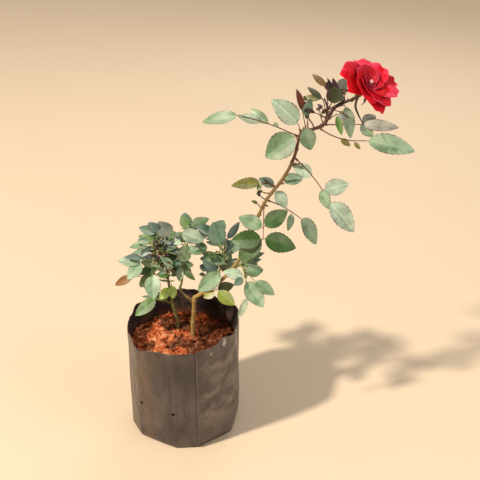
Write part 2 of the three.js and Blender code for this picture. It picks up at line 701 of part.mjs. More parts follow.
// Compound leaves that turn outward round a stem by a fixed angle, each a little off its place
function fillSprays({ count, first, turn, rise, reach, blade, pairs }, wander) {
  return Array.from({ length: count }, (_, i) => {
    const heading = first + turn * i + FILL_HEADING_SPREAD * wander();
    const climb = rise + FILL_RISE_SPREAD * wander();
    const up = climb >= 0;
    const face = up ? [heading + 180, 90 - climb] : [heading, 90 + climb];
    const aim = up ? 90 : -90;
    const size = blade * (1 + FILL_SIZE_SPREAD * wander());
    const rows = Array.from({ length: pairs }, (_unused, pair) => {
      const share = PAIR_AT - PAIR_STEP * pair;
      const length = size * (PAIR_SIZE - PAIR_SHRINK * pair);
      return [PAIR_ANGLE, -PAIR_ANGLE].map((angle) => (
        [share, aim + angle + PAIR_ANGLE_SPREAD * wander(), length]
      ));
    });
    return {
      at: FILL_STEM_FROM + (FILL_STEM_SPAN * i) / Math.max(1, count - 1),
      face, aim, reach: reach * (1 + FILL_REACH_SPREAD * wander()), sag: FILL_SAG,
      blades: [[1, aim, size], ...rows.flat()],
    };
  });
}

function stemCurve(plan, limbs) {
  return courseFrom(limbs[plan.on].curve.getPointAt(plan.at), plan.stem);
}

function stemSolid(plan, limbs, grow) {
  const stations = plan.stem.length * STATIONS_PER_STEP;
  const tip = STEM_TAPER * plan.stemRadius;
  return solidOf(
    tubeGeometry(stemCurve(plan, limbs), stations, STEM_SIDES, plan.stemRadius, tip, grow),
  );
}

// Taken holds what stands already, and the space that later masses' stems need
function growMass(plan, limbs, taken) {
  const parent = limbs[plan.on];
  const wander = seededSeries(plan.fill?.seed ?? 1);
  const start = parent.curve.getPointAt(plan.at);
  const spaces = Object.values(limbs).map((limb) => boxed(limb.space));
  const otherSpaces = spaces.filter(({ solid }) => solid !== parent.space);
  const stem = plan.stem ? stemCurve(plan, limbs) : null;
  const pieces = stem ? [stemSolid(plan, limbs, 0)] : [];
  const kept = [];
  const sprays = [...plan.sprays, ...(plan.fill ? fillSprays(plan.fill, wander) : [])];
  sprays.forEach((spray) => {
    const { twig, blades } = sprayPieces(stem ? stem.getPointAt(spray.at) : start, spray, wander);
    if (touchesAny(twig.space, [...(stem ? spaces : otherSpaces), ...taken])) return;
    if (touchesAny(twig.solid, taken)) return;
    pieces.push(twig.solid);
    blades.forEach((bladeAt) => {
      const blade = BLADE_LEANS.map(bladeAt).find(({ solid, space }) => (
        !touchesAny(space, [...spaces, ...taken, ...kept]) && !touchesAny(solid, taken)
      ));
      if (!blade) return;
      pieces.push(blade.solid);
      kept.push(boxed(blade.solid));
    });
  });
  const fused = pieces.reduce((sum, piece) => sum.add(piece));
  const cleared = spaces.reduce((sum, space) => sum.subtract(space.solid), fused);
  return largestBody(cleared);
}

// Bloom

// A thin closed sheet over a grid of points, its thickness laid on along its own normals
function sheetGeometry(pointAt, across, along, thickness) {
  const small = 1e-3;
  const layer = (side) => {
    const points = [];
    for (let i = 0; i <= across; i += 1) {
      for (let j = 0; j <= along; j += 1) {
        const [u, v] = [(2 * i) / across - 1, j / along];
        const point = pointAt(u, v);
        const du = pointAt(u + small, v).sub(pointAt(u - small, v));
        const dv = pointAt(u, v + small).sub(pointAt(u, v - small));
        points.push(point.addScaledVector(du.cross(dv).normalize(), (side * thickness) / 2));
      }
    }
    return points;
  };
  const count = (across + 1) * (along + 1);
  const at = (i, j) => i * (along + 1) + j;
  const triangles = [];
  for (let i = 0; i < across; i += 1) {
    for (let j = 0; j < along; j += 1) {
      const [a, b, c, d] = [at(i, j), at(i + 1, j), at(i + 1, j + 1), at(i, j + 1)];
      triangles.push([a, b, c], [a, c, d]);
      triangles.push([a + count, c + count, b + count], [a + count, d + count, c + count]);
    }
  }
  const border = [
    ...Array.from({ length: across }, (_, i) => at(i, 0)),
    ...Array.from({ length: along }, (_, j) => at(across, j)),
    ...Array.from({ length: across }, (_, i) => at(across - i, along)),
    ...Array.from({ length: along }, (_, j) => at(0, along - j)),
  ];
  border.forEach((a, i) => {
    const b = border[(i + 1) % border.length];
    triangles.push([a, a + count, b + count], [a, b + count, b]);
  });
  return geometryOf([...layer(1), ...layer(-1)], triangles);
}

// A petal that leaves the heart at one angle from the axis and curves over to another. One side
// of it lies under its neighbour and the other over the next.
function petalPoint(turn, length, width, startAngle, endAngle) {
  return (u, v) => {
    const leave = radians(startAngle + PETAL_ROOT_SPREAD);
    let [radius, height] = [PETAL_ROOT * Math.sin(leave), PETAL_ROOT * Math.cos(leave)];
    for (let k = 0; k < PETAL_SAMPLES; k += 1) {
      const share = (v * (k + 0.5)) / PETAL_SAMPLES;
      const lean = radians(startAngle + (endAngle - startAngle) * share + PETAL_SKEW * u);
      radius += (Math.sin(lean) * length * v) / PETAL_SAMPLES;
      height += (Math.cos(lean) * length * v) / PETAL_SAMPLES;
    }
    const open = Math.sin(Math.PI * (PETAL_OUTLINE_ROOT + PETAL_OUTLINE_SPAN * v));
    const half = (width / 2) * open ** PETAL_OUTLINE_POWER;
    const swing = radians(turn) + (u * half) / Math.max(radius, PETAL_LEAST_BEND * width);
    return new THREE.Vector3(radius * Math.cos(swing), radius * Math.sin(swing), height);
  };
}

function growBloom(stalk) {
  const axis = direction(BLOOM_HEADING, BLOOM_RISE);
  const toAxis = new THREE.Quaternion().setFromUnitVectors(UP, axis);
  const petals = PETALS.map((plan) => (
    solidOf(sheetGeometry(petalPoint(...plan), PETAL_CELLS, PETAL_CELLS, PETAL_THICKNESS))
  ));
  const profile = HIP_PROFILE.map(([share, height]) => (
    new THREE.Vector2(share * HIP_RADIUS, height * HIP_LENGTH - HIP_SINK)
  ));
  const hip = new THREE.LatheGeometry(profile, HIP_SIDES).rotateX(Math.PI / 2);
  const heart = new THREE.IcosahedronGeometry(BLOOM_HEART_RADIUS, 1)
    .scale(1, 1, BLOOM_HEART_STRETCH)
    .translate(0, 0, BLOOM_HEART_HEIGHT);
  const fused = petals.reduce((sum, petal) => sum.add(petal), solidOf(hip).add(solidOf(heart)));
  const origin = stalk.curve.getPointAt(1).addScaledVector(axis, HIP_SINK + HIP_LENGTH + GAP);
  const turned = geometryFromSolid(fused).applyQuaternion(toAxis).translate(origin.x, origin.y, origin.z);
  return largestBody(solidOf(turned).subtract(stalk.space));
}

// Assembly

const plant = new THREE.Group();

function addPiece(name, geometry, colour) {
  const [hex, roughness] = COLOURS[colour];
  const material = new THREE.MeshStandardMaterial({ color: hex, roughness, metalness: 0 });
  const mesh = new THREE.Mesh(geometry, material);
  mesh.name = name;
  plant.add(mesh);
}

addPiece('grow_bag', growBag(), 'bag');
addPiece('soil', soilBody(), 'soil');

const limbs = growLimbs();
Object.values(limbs).forEach(({ name, solid, colour }) => addPiece(name, geometryFromSolid(solid), colour));

const bloom = growBloom(limbs.flower_stalk);
addPiece('rose_bloom', geometryFromSolid(bloom), 'petal');

const stems = MASSES.map((plan) => (plan.stem ? [boxed(stemSolid(plan, limbs, GAP))] : []));
const standing = [boxed(bloom)];
MASSES.forEach((plan, i) => {
  const laterStems = stems.slice(i + 1).flat();
  const mass = growMass(plan, limbs, [...standing, ...laterStems]);
  addPiece(plan.name, geometryFromSolid(mass), plan.young ? 'young' : 'leaf');
  standing.push(boxed(mass));
});

export default plant;
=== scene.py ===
"""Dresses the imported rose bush: its bag, soil, canes, foliage and bloom, in the solids' own places.

Sizes in the tables below are millimetres and degrees, as in the part's source. A heading is counted
from +X towards +Y and a rise from level upwards. Finished meshes and the panel's sizes are metres.
"""
import functools
import json
import math

import bpy
import numpy as np
from bpy.props import FloatProperty, FloatVectorProperty, IntProperty, PointerProperty
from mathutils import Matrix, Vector, noise
from mathutils.bvhtree import BVHTree

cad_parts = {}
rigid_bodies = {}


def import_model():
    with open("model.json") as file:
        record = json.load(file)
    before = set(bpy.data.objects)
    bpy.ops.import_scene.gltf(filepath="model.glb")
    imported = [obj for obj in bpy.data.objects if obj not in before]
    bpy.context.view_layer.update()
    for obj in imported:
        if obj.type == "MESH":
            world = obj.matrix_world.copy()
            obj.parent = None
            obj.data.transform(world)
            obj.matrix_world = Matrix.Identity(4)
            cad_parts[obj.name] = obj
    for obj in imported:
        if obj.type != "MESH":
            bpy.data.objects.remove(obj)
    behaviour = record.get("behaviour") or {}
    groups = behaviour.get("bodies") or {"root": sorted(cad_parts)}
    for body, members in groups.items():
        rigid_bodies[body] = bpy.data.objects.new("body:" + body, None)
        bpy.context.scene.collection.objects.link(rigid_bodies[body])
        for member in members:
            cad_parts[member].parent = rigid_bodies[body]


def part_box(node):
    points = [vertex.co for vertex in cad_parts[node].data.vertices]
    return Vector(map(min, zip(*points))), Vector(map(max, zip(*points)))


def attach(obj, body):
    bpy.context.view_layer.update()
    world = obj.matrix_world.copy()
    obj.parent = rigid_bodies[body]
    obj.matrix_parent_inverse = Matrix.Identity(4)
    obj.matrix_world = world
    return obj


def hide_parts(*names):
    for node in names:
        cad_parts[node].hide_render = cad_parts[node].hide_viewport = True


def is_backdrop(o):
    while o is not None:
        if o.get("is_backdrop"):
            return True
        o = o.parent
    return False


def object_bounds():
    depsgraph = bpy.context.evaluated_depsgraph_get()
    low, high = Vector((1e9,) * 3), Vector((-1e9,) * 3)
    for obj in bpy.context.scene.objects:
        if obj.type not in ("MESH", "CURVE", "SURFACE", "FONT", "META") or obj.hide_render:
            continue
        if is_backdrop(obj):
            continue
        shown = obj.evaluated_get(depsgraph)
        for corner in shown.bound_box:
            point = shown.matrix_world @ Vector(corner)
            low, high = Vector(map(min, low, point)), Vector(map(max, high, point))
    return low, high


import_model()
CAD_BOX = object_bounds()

bl_info = {
    "name": "Potted Rose Bush",
    "version": (1, 0, 0),
    "blender": (4, 5, 0),
    "location": "View3D > Sidebar > Rose Bush",
    "description": "Builds a rose bush in a nursery grow bag over its packed solids",
    "category": "Object",
}

MM = 0.001
UP = np.array([0.0, 0.0, 1.0])

# Grow bag, as in the part's source
BAG_RADIUS, BAG_HEIGHT = 76, 155
BAG_FOLDS = [-163, -142, -97, -74, -31, 12, 58, 104, 151]
BAG_FLATNESS_AT_FLOOR, BAG_FLATNESS_AT_RIM = 0.85, 0.4
BAG_LEVELS = [(0, 0.965), (6, 1), (60, 1.01), (125, 1)]
# Where the rim stands up or sags: heading, rise, width
RIM_BUMPS = [(150, 5, 9), (222, -10, 12), (20, 10, 18), (-40, 7, 10), (90, 7, 30), (250, -3, 20)]
BAG_COLUMNS, BAG_ROWS = 288, 56
# Pale lines along the bag's folds, crease wear with a painted highlight that is strongest at the
# lapped edge: heading, half width in metres and strength
BAG_FOLD_WEAR_AND_HIGHLIGHT = [
    (-74.5, 0.0007, 0.95), (-97, 0.0012, 0.1), (-142, 0.0012, 0.45), (-163, 0.0012, 0.45),
    (-31, 0.0014, 0.4), (12, 0.0012, 0.4), (58, 0.0012, 0.4), (104, 0.0012, 0.4), (151, 0.0012, 0.4),
]
# Camera: place in metres, dip below the horizon, lens and sensor, and its picture's side in pixels
CAMERA_PLACE, CAMERA_DIP, CAMERA_LENS, CAMERA_SENSOR = (0.076, -1.009, 0.814), 28, 67.5, 36
PICTURE = 480
# The sheet's lapped edge: heading, width of the step in degrees, how far it and its bead stand out,
# and how far the shadow line lies beside it, in degrees
BAG_LAP, BAG_LAP_WIDTH, LAP_STEP, LAP_BEAD, LAP_SHADOW = -74.5, 13, 1.3, 0.7, 1.3
LAP_SHADOW_WIDTH = 0.0016
# Dents and creases of the sheet: how many go round the bag and how tall they are
DENTS_ROUND, DENT_HEIGHT, CREASES_ROUND, CREASE_HEIGHT = 2.2, 55, 7, 34
# Height of the bag's inner floor, and how far its ragged rim stands below the source's and is
# rounded over
BAG_INNER_FLOOR, RIM_DROP, RIM_RAGGED, LIP_RISE = 1.2, 0.8, 1.3, 0.25
# Drain holes: heading and height
BAG_HOLES = [
    (-137, 59), (-98.7, 57.7), (-26, 46), (14, 55), (58, 61), (104, 52), (146, 58), (186, 50)]
# Soil: height of its top at the wall, its distance from the wall, its foot and the body's levels
SOIL_TOP, SOIL_INSET, SOIL_FOOT, SOIL_LEVELS = 125, 2, 2, (2, 30, 60, 95)
SOIL_RINGS, SOIL_COLUMNS = 44, 132
# Loose lumps on the soil: name, radius, fineness, spacing and seed
SOIL_LUMPS = [("soil_lumps", 4.4, 3, 9.5, 5), ("soil_crumbs", 2.5, 2, 4.4, 11),
              ("soil_grit", 1.1, 1, 3.0, 17)]
LUMP_DENSITY = 60000.0

# Canes and boughs: length, heading and rise of each step of the course
LIMBS = {
    "main_cane": dict(
        start=(12.5, 4, 124.6), foot=2.9, tip=2.6, bark="tan",
        course=[(20, 0, 90), (22, 20, 85), (23, -40, 86)]),
    "second_cane": dict(
        start=(-9.5, 21, 124.6), foot=2.4, tip=1.9, bark="olive",
        course=[(20, 180, 90), (20, 200, 78), (24, 215, 80)]),
    "left_bough": dict(
        on="main_cane", at=0.93, foot=1.7, tip=1.3, bark="olive",
        course=[(12, 165, 25), (12, 150, 42), (9, 60, 65)]),
    "back_bough": dict(
        on="second_cane", at=0.78, foot=1.6, tip=1.2, bark="olive",
        course=[(14, 110, 40), (16, 100, 55)]),
    "arching_cane_low": dict(
        on="main_cane", at=1, foot=2.5, tip=2.2, bark="tan",
        course=[(15, -9, 37), (30, -10, 40), (37, -10, 53), (22, -11, 63), (29, -12, 71)]),
    "arching_cane_middle": dict(
        on="arching_cane_low", at=1, foot=2.1, tip=2, bark="lime",
        course=[(25, -7, 71), (22, -7, 67), (34, 0, 55)]),
    "arching_cane_high": dict(
        on="arching_cane_middle", at=1, foot=2, tip=1.8, bark="russet",
        course=[(19, 6, 62), (20, 8, 70), (15, 18, 79), (11, 18, 74)]),
    "flower_stalk": dict(
        on="arching_cane_high", at=1, foot=1.8, tip=1.4, bark="russet",
        course=[(16, 7, 11), (12, 10, 24), (25, 4, 58), (22, -6, 28), (5, -30, 40)]),
    "right_bough": dict(
        on="arching_cane_low", at=0.1, foot=1.5, tip=1.1, bark="olive",
        course=[(14, 60, 30), (16, 50, 50)]),
}

# Bark colours by name, and each limb's at its foot and at its tip
BARKS = {
    "tan": "#ae8c50", "olive": "#77703c", "lime": "#9a8c4a", "russet": "#54301c", "dark": "#321a10",
    "green": "#6d7238", "brown": "#7a5a34",
}
LIMB_BARKS = {
    "main_cane": ("tan", "tan"), "second_cane": ("green", "olive"), "left_bough": ("brown", "olive"),
    "back_bough": ("olive", "brown"), "arching_cane_low": ("tan", "lime"),
    "arching_cane_middle": ("lime", "brown"), "arching_cane_high": ("brown", "russet"),
    "flower_stalk": ("russet", "dark"), "right_bough": ("olive", "brown"),
}
# Skins of what the limbs carry: colours below and above, and the heights between which they change
SKINS = {
    "bark_shoots": ("#6f5228", "#5f3822", 260, 430), "bark_dry": ("#b79a72", "#c4a67c", 150, 300),
    "bark_dead": ("#36221a", "#2c1a14", 150, 300), "bark_stem": ("#6f6a34", "#7f8444", 160, 260),
    "twig_green": ("#7c8a4a", "#8a9450", 160, 260), "twig_red": ("#74422c", "#5a281e", 300, 470),
    "bark_young": ("#4f2c1c", "#43241c", 400, 480), "hip_skin": ("#5f6a34", "#6f5a34", 440, 500),
}
# Leaf nodes along a limb: place of the first, spacing, swelling and its reach
NODE_START, NODE_SPACING, NODE_SWELLING, NODE_REACH = 9, 17, 0.55, 1.7
# How much a limb swells where it leaves another or the ground, and how far up
FORK_SWELLING, GROUND_SWELLING, FOOT_REACH, STALK_SWELLING = 0.5, 0.9, 3.2, 0.55
PRICKLY = ("main_cane", "second_cane", "arching_cane_low", "arching_cane_middle",
           "arching_cane_high", "flower_stalk")

# Masses and sprays of leaves. A spray lies on a plane whose upper side looks along face: its rachis
# starts on the bearing aim, is reach long, turns by bend, sinks by sag and leans off by out. A blade
# is its place along the rachis, its bearing, its length and, where unusual, its breadth, tint and
# lean out of the plane.
MASSES = {
    "hanging_leaf": dict(on="arching_cane_middle", at=0.52, sprays=[
        dict(face=(-90, 35), aim=271, reach=43, tint="deep", blades=[
            (0.7, 154, 34, 0.6, "sage"), (0.66, 38, 36), (1, 185, 40), (0.98, -13, 42),
            (1, 217, 46, 0.6, "deep", -26)])]),
    "swinging_leaf": dict(on="arching_cane_middle", at=0.6, sprays=[
        dict(face=(-50, 35), aim=-30, bend=-14, reach=54, sag=6, tint="mint", blades=[
            (1, -62, 44, 0.58), (0.74, -118, 24, 0.42)])]),
    "shining_leaf": dict(on="arching_cane_middle", at=0.75, sprays=[
        dict(face=(-70, 40), aim=40, reach=4, tint="pale", blades=[(1, -57, 27, 0.66)])]),
    "side_left_leaf": dict(on="arching_cane_middle", at=0.85, sprays=[
        dict(face=(-95, 60), aim=170, reach=18, tint="green", blades=[
            (1, 180, 39, 0.5, "olive"), (0.04, 160, 23, 0.6, "slate", 24), (0.95, 230, 10)])]),
    "side_right_leaf": dict(on="arching_cane_middle", at=0.93, sprays=[
        dict(face=(-75, 65), aim=-5, reach=5, tint="mint", blades=[(1, 24, 30, 0.62)])]),
    "drooping_leaf": dict(on="arching_cane_high", at=0.5, sprays=[
        dict(face=(-80, 30), aim=-42, bend=-18, reach=69, sag=8, tint="mint", blades=[
            (0.48, 144, 29, 0.6, "pale"), (0.77, 12, 34, 0.6, "pale"), (0.72, -71, 28, 0.5),
            (1, -49, 50, 0.52, "pale")])]),
    "lower_left_leaf": dict(on="arching_cane_high", at=0.8, sprays=[
        dict(face=(-95, 35), aim=111, reach=8, tint="sage", blades=[(1, 218, 45, 0.72)])]),
    "top_left_leaf": dict(on="arching_cane_high", at=0.9, sprays=[
        dict(face=(-100, 35), aim=160, bend=12, reach=79, tint="sage", blades=[
            (1, 192, 49, 0.34), (0.61, 170, 33, 0.38), (0.5, 148, 31, 0.4), (0.34, 140, 10)])]),
    "pale_top_leaf": dict(on="arching_cane_high", at=0.97, sprays=[
        dict(face=(-75, 30), aim=100, reach=10, tint="pale", blades=[(1, 129, 43, 0.66)])]),
    "green_front_leaf": dict(on="flower_stalk", at=0.04, sprays=[
        dict(face=(-80, 30), aim=106, reach=8, out=50, tint="sage", blades=[(1, -69, 29, 0.75)])]),
    "brown_top_leaf": dict(on="flower_stalk", at=0.08, young=True, sprays=[
        dict(face=(-60, 25), aim=96, reach=22, tint="russet", blades=[
            (1, 92, 28, 0.35), (0.75, 60, 23, 0.55, "blue")])]),
    "young_shoot": dict(
        on="flower_stalk", at=0.38, young=True, stem_radius=1.2, stem=[(16, 60, 70), (14, 150, 70)],
        sprays=[
            dict(at=0.3, face=(-90, 30), aim=105, reach=20, tint="dusk", blades=[
                (1, 178, 28, 0.3, "olive"), (0.9, 141, 25, 0.3)]),
            dict(at=0.6, face=(-80, 35), aim=88, reach=24, tint="bronze", blades=[
                (1, 134, 24, 0.35), (0.76, 75, 15, 0.7, "plum")]),
            dict(at=0.5, face=(-85, 30), aim=25, reach=15, out=58, tint="wine", blades=[
                (1, 92, 23, 0.9)]),
            dict(at=0.5, face=(-70, 35), aim=48, reach=24, out=20, tint="wine", blades=[
                (1, 41, 24, 0.6, "grey"), (0.86, -40, 14, 0.7, "grey"), (0.8, 84, 22, 0.36, "plum"),
                (0.7, 101, 25, 0.3, "dusk"), (0.9, 62, 21, 0.4, "pale"), (0.6, 92, 21, 0.34, "plum"),
                (0.95, 8, 17, 0.35, "plum"), (0.5, 20, 13, 0.4, "wine")]),
            dict(at=0.2, face=(-80, 30), aim=150, reach=15, tint="dusk", blades=[
                (1, 128, 20, 0.24), (0.8, 158, 16, 0.3, "plum"), (0.5, 40, 12, 0.4, "dusk")]),
        ]),
    "folded_light_leaf": dict(on="flower_stalk", at=0.66, sprays=[
        dict(face=(-70, 30), aim=7, reach=12, tint="mint", blades=[(1, -79, 40, 0.42)])]),
    "narrow_dark_leaf": dict(on="flower_stalk", at=0.42, sprays=[
        dict(face=(-100, 30), aim=38, reach=14, tint="green", blades=[
            (1, -68, 25, 0.35), (1, -9, 16, 0.6, "grey")])]),
    "top_right_leaf": dict(on="flower_stalk", at=0.34, sprays=[
        dict(face=(-72, 40), aim=-4, reach=47, tint="sage", blades=[
            (1, 25, 24, 0.6, "grey"), (1, -11, 46, 0.32, "ash"), (0.95, -43, 23, 0.6, "mint")])]),
    "far_right_leaf": dict(on="flower_stalk", at=0.26, sprays=[
        dict(face=(-90, 40), aim=-36, bend=44, reach=60, tint="mint", blades=[
            (1, -6, 59, 0.44), (0.47, -31, 16, 0.5, "olive"), (0.75, -50, 13, 0.4, "olive")])]),
    "low_left_mass": dict(
        on="second_cane", at=1, stem_radius=1.7, stem=[(34, 230, 80), (28, 190, 72), (22, 160, 66)],
        sprays=[
            dict(at=0.3, face=(-90, 30), aim=159, reach=27, out=45, tint="pale", blades=[
                (1, -92, 33, 0.7, "mint", 14), (1, 222, 33, 0.45, "deep", -34),
                (0.83, -1, 18, 0.5, "green")]),
            dict(at=0.45, face=(-105, 45), aim=175, reach=34, out=35, tint="mint", blades=[
                (1, 235, 29, 0.62), (1, 177, 33, 0.5), (0.37, 151, 29, 0.5),
                (0.3, 198, 26, 0.6, "deep")]),
            dict(at=0.7, face=(-110, 45), aim=140, reach=23, out=30, tint="blue", blades=[
                (1, 177, 22, 0.45), (1, 206, 29, 0.45, "sage"), (0.7, 230, 21, 0.4, "slate")]),
            dict(at=0.8, face=(-80, 35), aim=41, reach=25, out=20, tint="grey", blades=[
                (1, 118, 28, 0.8)]),
            dict(at=0.9, face=(-85, 35), aim=77, reach=19, out=20, tint="slate", blades=[
                (1, 132, 18, 0.8), (1, 166, 26, 0.5, "blue")]),
            dict(at=0.25, face=(-110, 30), aim=185, reach=45, out=30, tint="amber", blades=[
                (1, 214, 33, 0.36)]),
            dict(at=0.5, face=(-80, 40), aim=6, reach=20, out=45, tint="sage", blades=[
                (1, 179, 20, 0.5), (0.95, 143, 23, 0.45, "mint"), (0.57, 209, 17, 0.5, "blue")]),
        ],
        fill=dict(count=2, first=100, turn=-60, rise=25, reach=24, blade=29, seed=7),
        finer=16),
    "low_front_mass": dict(
        on="second_cane", at=0.72, stem_radius=1.2, stem=[(10, 200, 35), (9, 190, 30)],
        sprays=[
            dict(at=0.95, face=(-100, 45), aim=186, reach=7, out=30, tint="green", blades=[
                (1, 224, 36, 0.5)]),
            dict(at=0.6, face=(-80, 30), aim=73, reach=34, out=40, tint="spring", blades=[
                (1, -87, 20, 0.6), (0.83, 225, 22, 0.6)]),
        ],
        fill=dict(count=1, first=190, turn=-50, rise=10, reach=18, blade=20, seed=19),
        finer=3),
    "low_top_mass": dict(
        on="left_bough", at=1, stem_radius=1.3, stem=[(33, 0, 82), (28, 40, 76)],
        sprays=[
            dict(at=0.3, face=(-95, 35), aim=107, reach=10, out=40, tint="green", blades=[
                (1, -45, 27, 0.36, "deep"), (1, 268, 22, 0.5, "sage"), (1, 4, 17, 0.6, "deep")]),
            dict(at=0.4, face=(-85, 30), aim=109, reach=8, out=65, tint="sage", blades=[
                (1, 77, 25, 0.72, "sage", 8)]),
            dict(at=0.7, face=(-80, 45), aim=102, reach=15, out=35, tint="blue", blades=[
                (0.94, 163, 21, 0.4, "pale"), (0.67, -22, 26, 0.45, "mint")]),
            dict(at=0.85, face=(-80, 45), aim=111, reach=23, out=25, tint="mint", blades=[
                (1, -26, 33, 0.62, "pale")]),
            dict(at=0.95, face=(-80, 35), aim=80, reach=21, tint="green", blades=[
                (1, 24, 29, 0.5, "sage"), (0.98, 125, 18, 0.8)]),
        ],
        fill=dict(count=2, first=35, turn=70, rise=30, reach=22, blade=30, seed=3),
        finer=12),
    "low_back_mass": dict(
        on="back_bough", at=1, stem_radius=1.1, stem=[(24, 120, 65), (22, 160, 70)], sprays=[],
        fill=dict(count=5, first=30, turn=38, rise=15, reach=28, blade=32, seed=5),
        finer=14),
    "middle_mass": dict(
        on="arching_cane_low", at=0.2, stem_radius=1.4,
        stem=[(24, 5, 64), (22, 20, 66), (20, 150, 78)],
        sprays=[
            dict(at=0.06, face=(-90, 35), aim=-26, reach=15, out=45, tint="lime", blades=[
                (0.89, 216, 20, 0.7, "straw"), (1, -37, 30, 0.6, "lime"),
                (0.84, 18, 24, 0.6, "dusk")]),
            dict(at=0.35, face=(-80, 30), aim=40, reach=10, out=45, tint="sage", blades=[
                (1, 220, 40, 0.55, "mint"), (0.3, 138, 28, 0.45, "slate")]),
            dict(at=0.5, face=(-90, 45), aim=21, reach=11, out=35, tint="sage", blades=[
                (1, 168, 33, 0.42), (1, 139, 22, 0.5, "deep")]),
            dict(at=0.6, face=(-80, 25), aim=48, reach=11, out=20, tint="slate", blades=[
                (0.9, 80, 23, 0.5)]),
            dict(at=0.75, face=(-80, 25), aim=77, reach=22, out=10, tint="slate", blades=[
                (1, 43, 30, 0.35)]),
            dict(at=0.85, face=(-85, 30), aim=114, reach=9, out=15, tint="blue", blades=[
                (1, 104, 32, 0.75)]),
        ],
        fill=dict(count=2, first=60, turn=60, rise=30, reach=22, blade=29, seed=13),
        finer=12),
    "right_mass": dict(
        on="arching_cane_low", at=0.62, stem_radius=1.2, stem=[(14, -60, 5), (14, -50, -35)],
        sprays=[
            dict(at=0.9, face=(-80, 35), aim=252, reach=9, out=20, tint="mint", blades=[
                (1, -58, 41, 0.56)]),
            dict(at=0.75, face=(-80, 35), aim=-60, reach=17, out=20, tint="sage", blades=[
                (1, -45, 31, 0.5)]),
            dict(at=0.7, face=(-75, 20), aim=-91, reach=34, out=10, tint="lime", blades=[
                (1, 245, 31, 0.3, "pale")]),
            dict(at=0.6, face=(-90, 45), aim=-94, reach=15, out=25, tint="pale", blades=[
                (0.91, 160, 27, 0.55), (1, 213, 17, 0.6, "blue")]),
            dict(at=0.5, face=(-90, 45), aim=-79, reach=10, out=20, tint="green", blades=[
                (0.9, 7, 25, 0.68, "sage"), (0.3, 35, 16, 0.5)]),
            dict(at=0.1, face=(-95, 35), aim=-61, reach=6, out=20, tint="green", blades=[
                (1, 45, 19, 0.6)]),
        ],
        fill=dict(count=1, first=10, turn=45, rise=15, reach=16, blade=24, seed=23),
        finer=5),
    "right_back_mass": dict(
        on="right_bough", at=1, stem_radius=1, stem=[(20, 40, 65), (18, 10, 70)], sprays=[],
        fill=dict(count=4, first=-10, turn=45, rise=15, reach=26, blade=30, seed=29),
        finer=12),
}
# Gaps that the masses leave open, in pixels of the camera's picture: left, top, right, bottom
SKY_GAPS = [
    (110, 200, 138, 248), (110, 284, 134, 325), (138, 200, 171, 219), (171, 200, 178, 226),
    (203, 214, 205.5, 246), (193, 254, 198.5, 273), (181, 276, 200, 286), (206, 245, 218, 251),
    (229, 226, 236, 240), (205, 200, 240, 219), (262, 258, 300, 284), (246, 300, 300, 330),
]
BLADE_BREADTH, BLADE_FOLD, BLADE_CURL, FACE_WANDER = 0.6, 14, 0.1, 9
# Leans off its plane that a leaflet tries in turn, to keep clear of what stands
BLADE_LEANS = (0, 14, -14, 28, -28)
# How far a leaflet's face, roll and margin stray
BLADE_TILT, BLADE_ROLL, BLADE_RIPPLE = 0.22, 0.16, 0.05
# Leaflet pairs of a filled and of a finer compound leaf: place along the rachis, angle and size
FILL_PAIR, FINER_PAIRS = (0.88, 58, 0.92), ((0.86, 60, 0.9), (0.5, 64, 0.72))
# Turn from one finer leaf to the next round their stem, and how far up they point
FINER_TURN, FINER_RISE = 137.5, 22
# The two wings at a compound leaf's foot have eight corners each, joined by these faces
STIPULE_FACES = [(0, 3, 2, 1), (4, 5, 6, 7), (0, 1, 5, 4), (1, 2, 6, 5), (2, 3, 7, 6), (3, 0, 4, 7)]
# How far a finer leaf may pass its mass's box, and stand in front of its stem
FINER_REACH, FINER_FRONT = 1.5, 7
BLADE_STALK, BLADE_THICKNESS, LEAF_ROUGHNESS = 2.4, 0.3, 0.36
LISTED_TEETH, FILL_TEETH, SHOOT_TEETH = 9, 5, 3
SHOOT_TINTS = ("olive", "deep", "dusk", "bronze", "plum")
LONG_STALK = 15
# Above this height the twigs are red
HIGH_TWIGS = 235
# Radii of a compound leaf's rachis and of a leaflet's own stalk
RACHIS_FOOT, RACHIS_TIP, LEAFLET_STALK = 0.8, 0.5, 0.42

# Colours of a leaflet's upper side, edge and underside. The greens differ partly by leaf and
# partly as painted light and shade: the bright lime tint is painted light, the pale one partly
# painted light, and the deep one partly painted shade, dark on both sides.
TINTS = {
    "sage": ("#6c8a62", "#60443c", "#8ea280"),
    "mint": ("#86a580", "#6a4f44", "#a2b694"),
    "blue": ("#5a7c64", "#5a4e48", "#829a84"),
    "slate": ("#50685f", "#544850", "#778a82"),
    "grey": ("#6f7668", "#6a3f52", "#8a8a7e"),
    "ash": ("#a5a396", "#7a4258", "#a8a496"),
    "straw": ("#a09a54", "#7a5a38", "#aea868"),
    "amber": ("#80561f", "#7a4420", "#a37a3c"),
    # Painted light: a bright lime for leaves lit as in sun
    "spring": ("#b4d648", "#8a8a38", "#b8d25c"),
    "green": ("#597f35", "#5a4a28", "#84a35a"),
    # Partly painted shade: dark on both sides, for leaves in shade
    "deep": ("#345618", "#453f1e", "#3f5c1c"),
    "lime": ("#8c9c3c", "#8a7438", "#a0b054"),
    # Partly painted light: a whitish green for leaves that catch the light
    "pale": ("#acc2a6", "#6a4450", "#b4c4ac"),
    "olive": ("#6e6a20", "#6a4420", "#7d7638"),
    "bronze": ("#6a4c16", "#6a341c", "#8a6a34"),
    "russet": ("#6f341a", "#52201a", "#8a5030"),
    "wine": ("#34401e", "#4f2038", "#5f3a44"),
    "plum": ("#4a2a34", "#3c1a24", "#6a4450"),
    "dusk": ("#33350f", "#4a2824", "#55492c"),
}
FILL_TINTS = ("sage", "blue", "green", "mint", "blue", "deep", "sage", "slate")
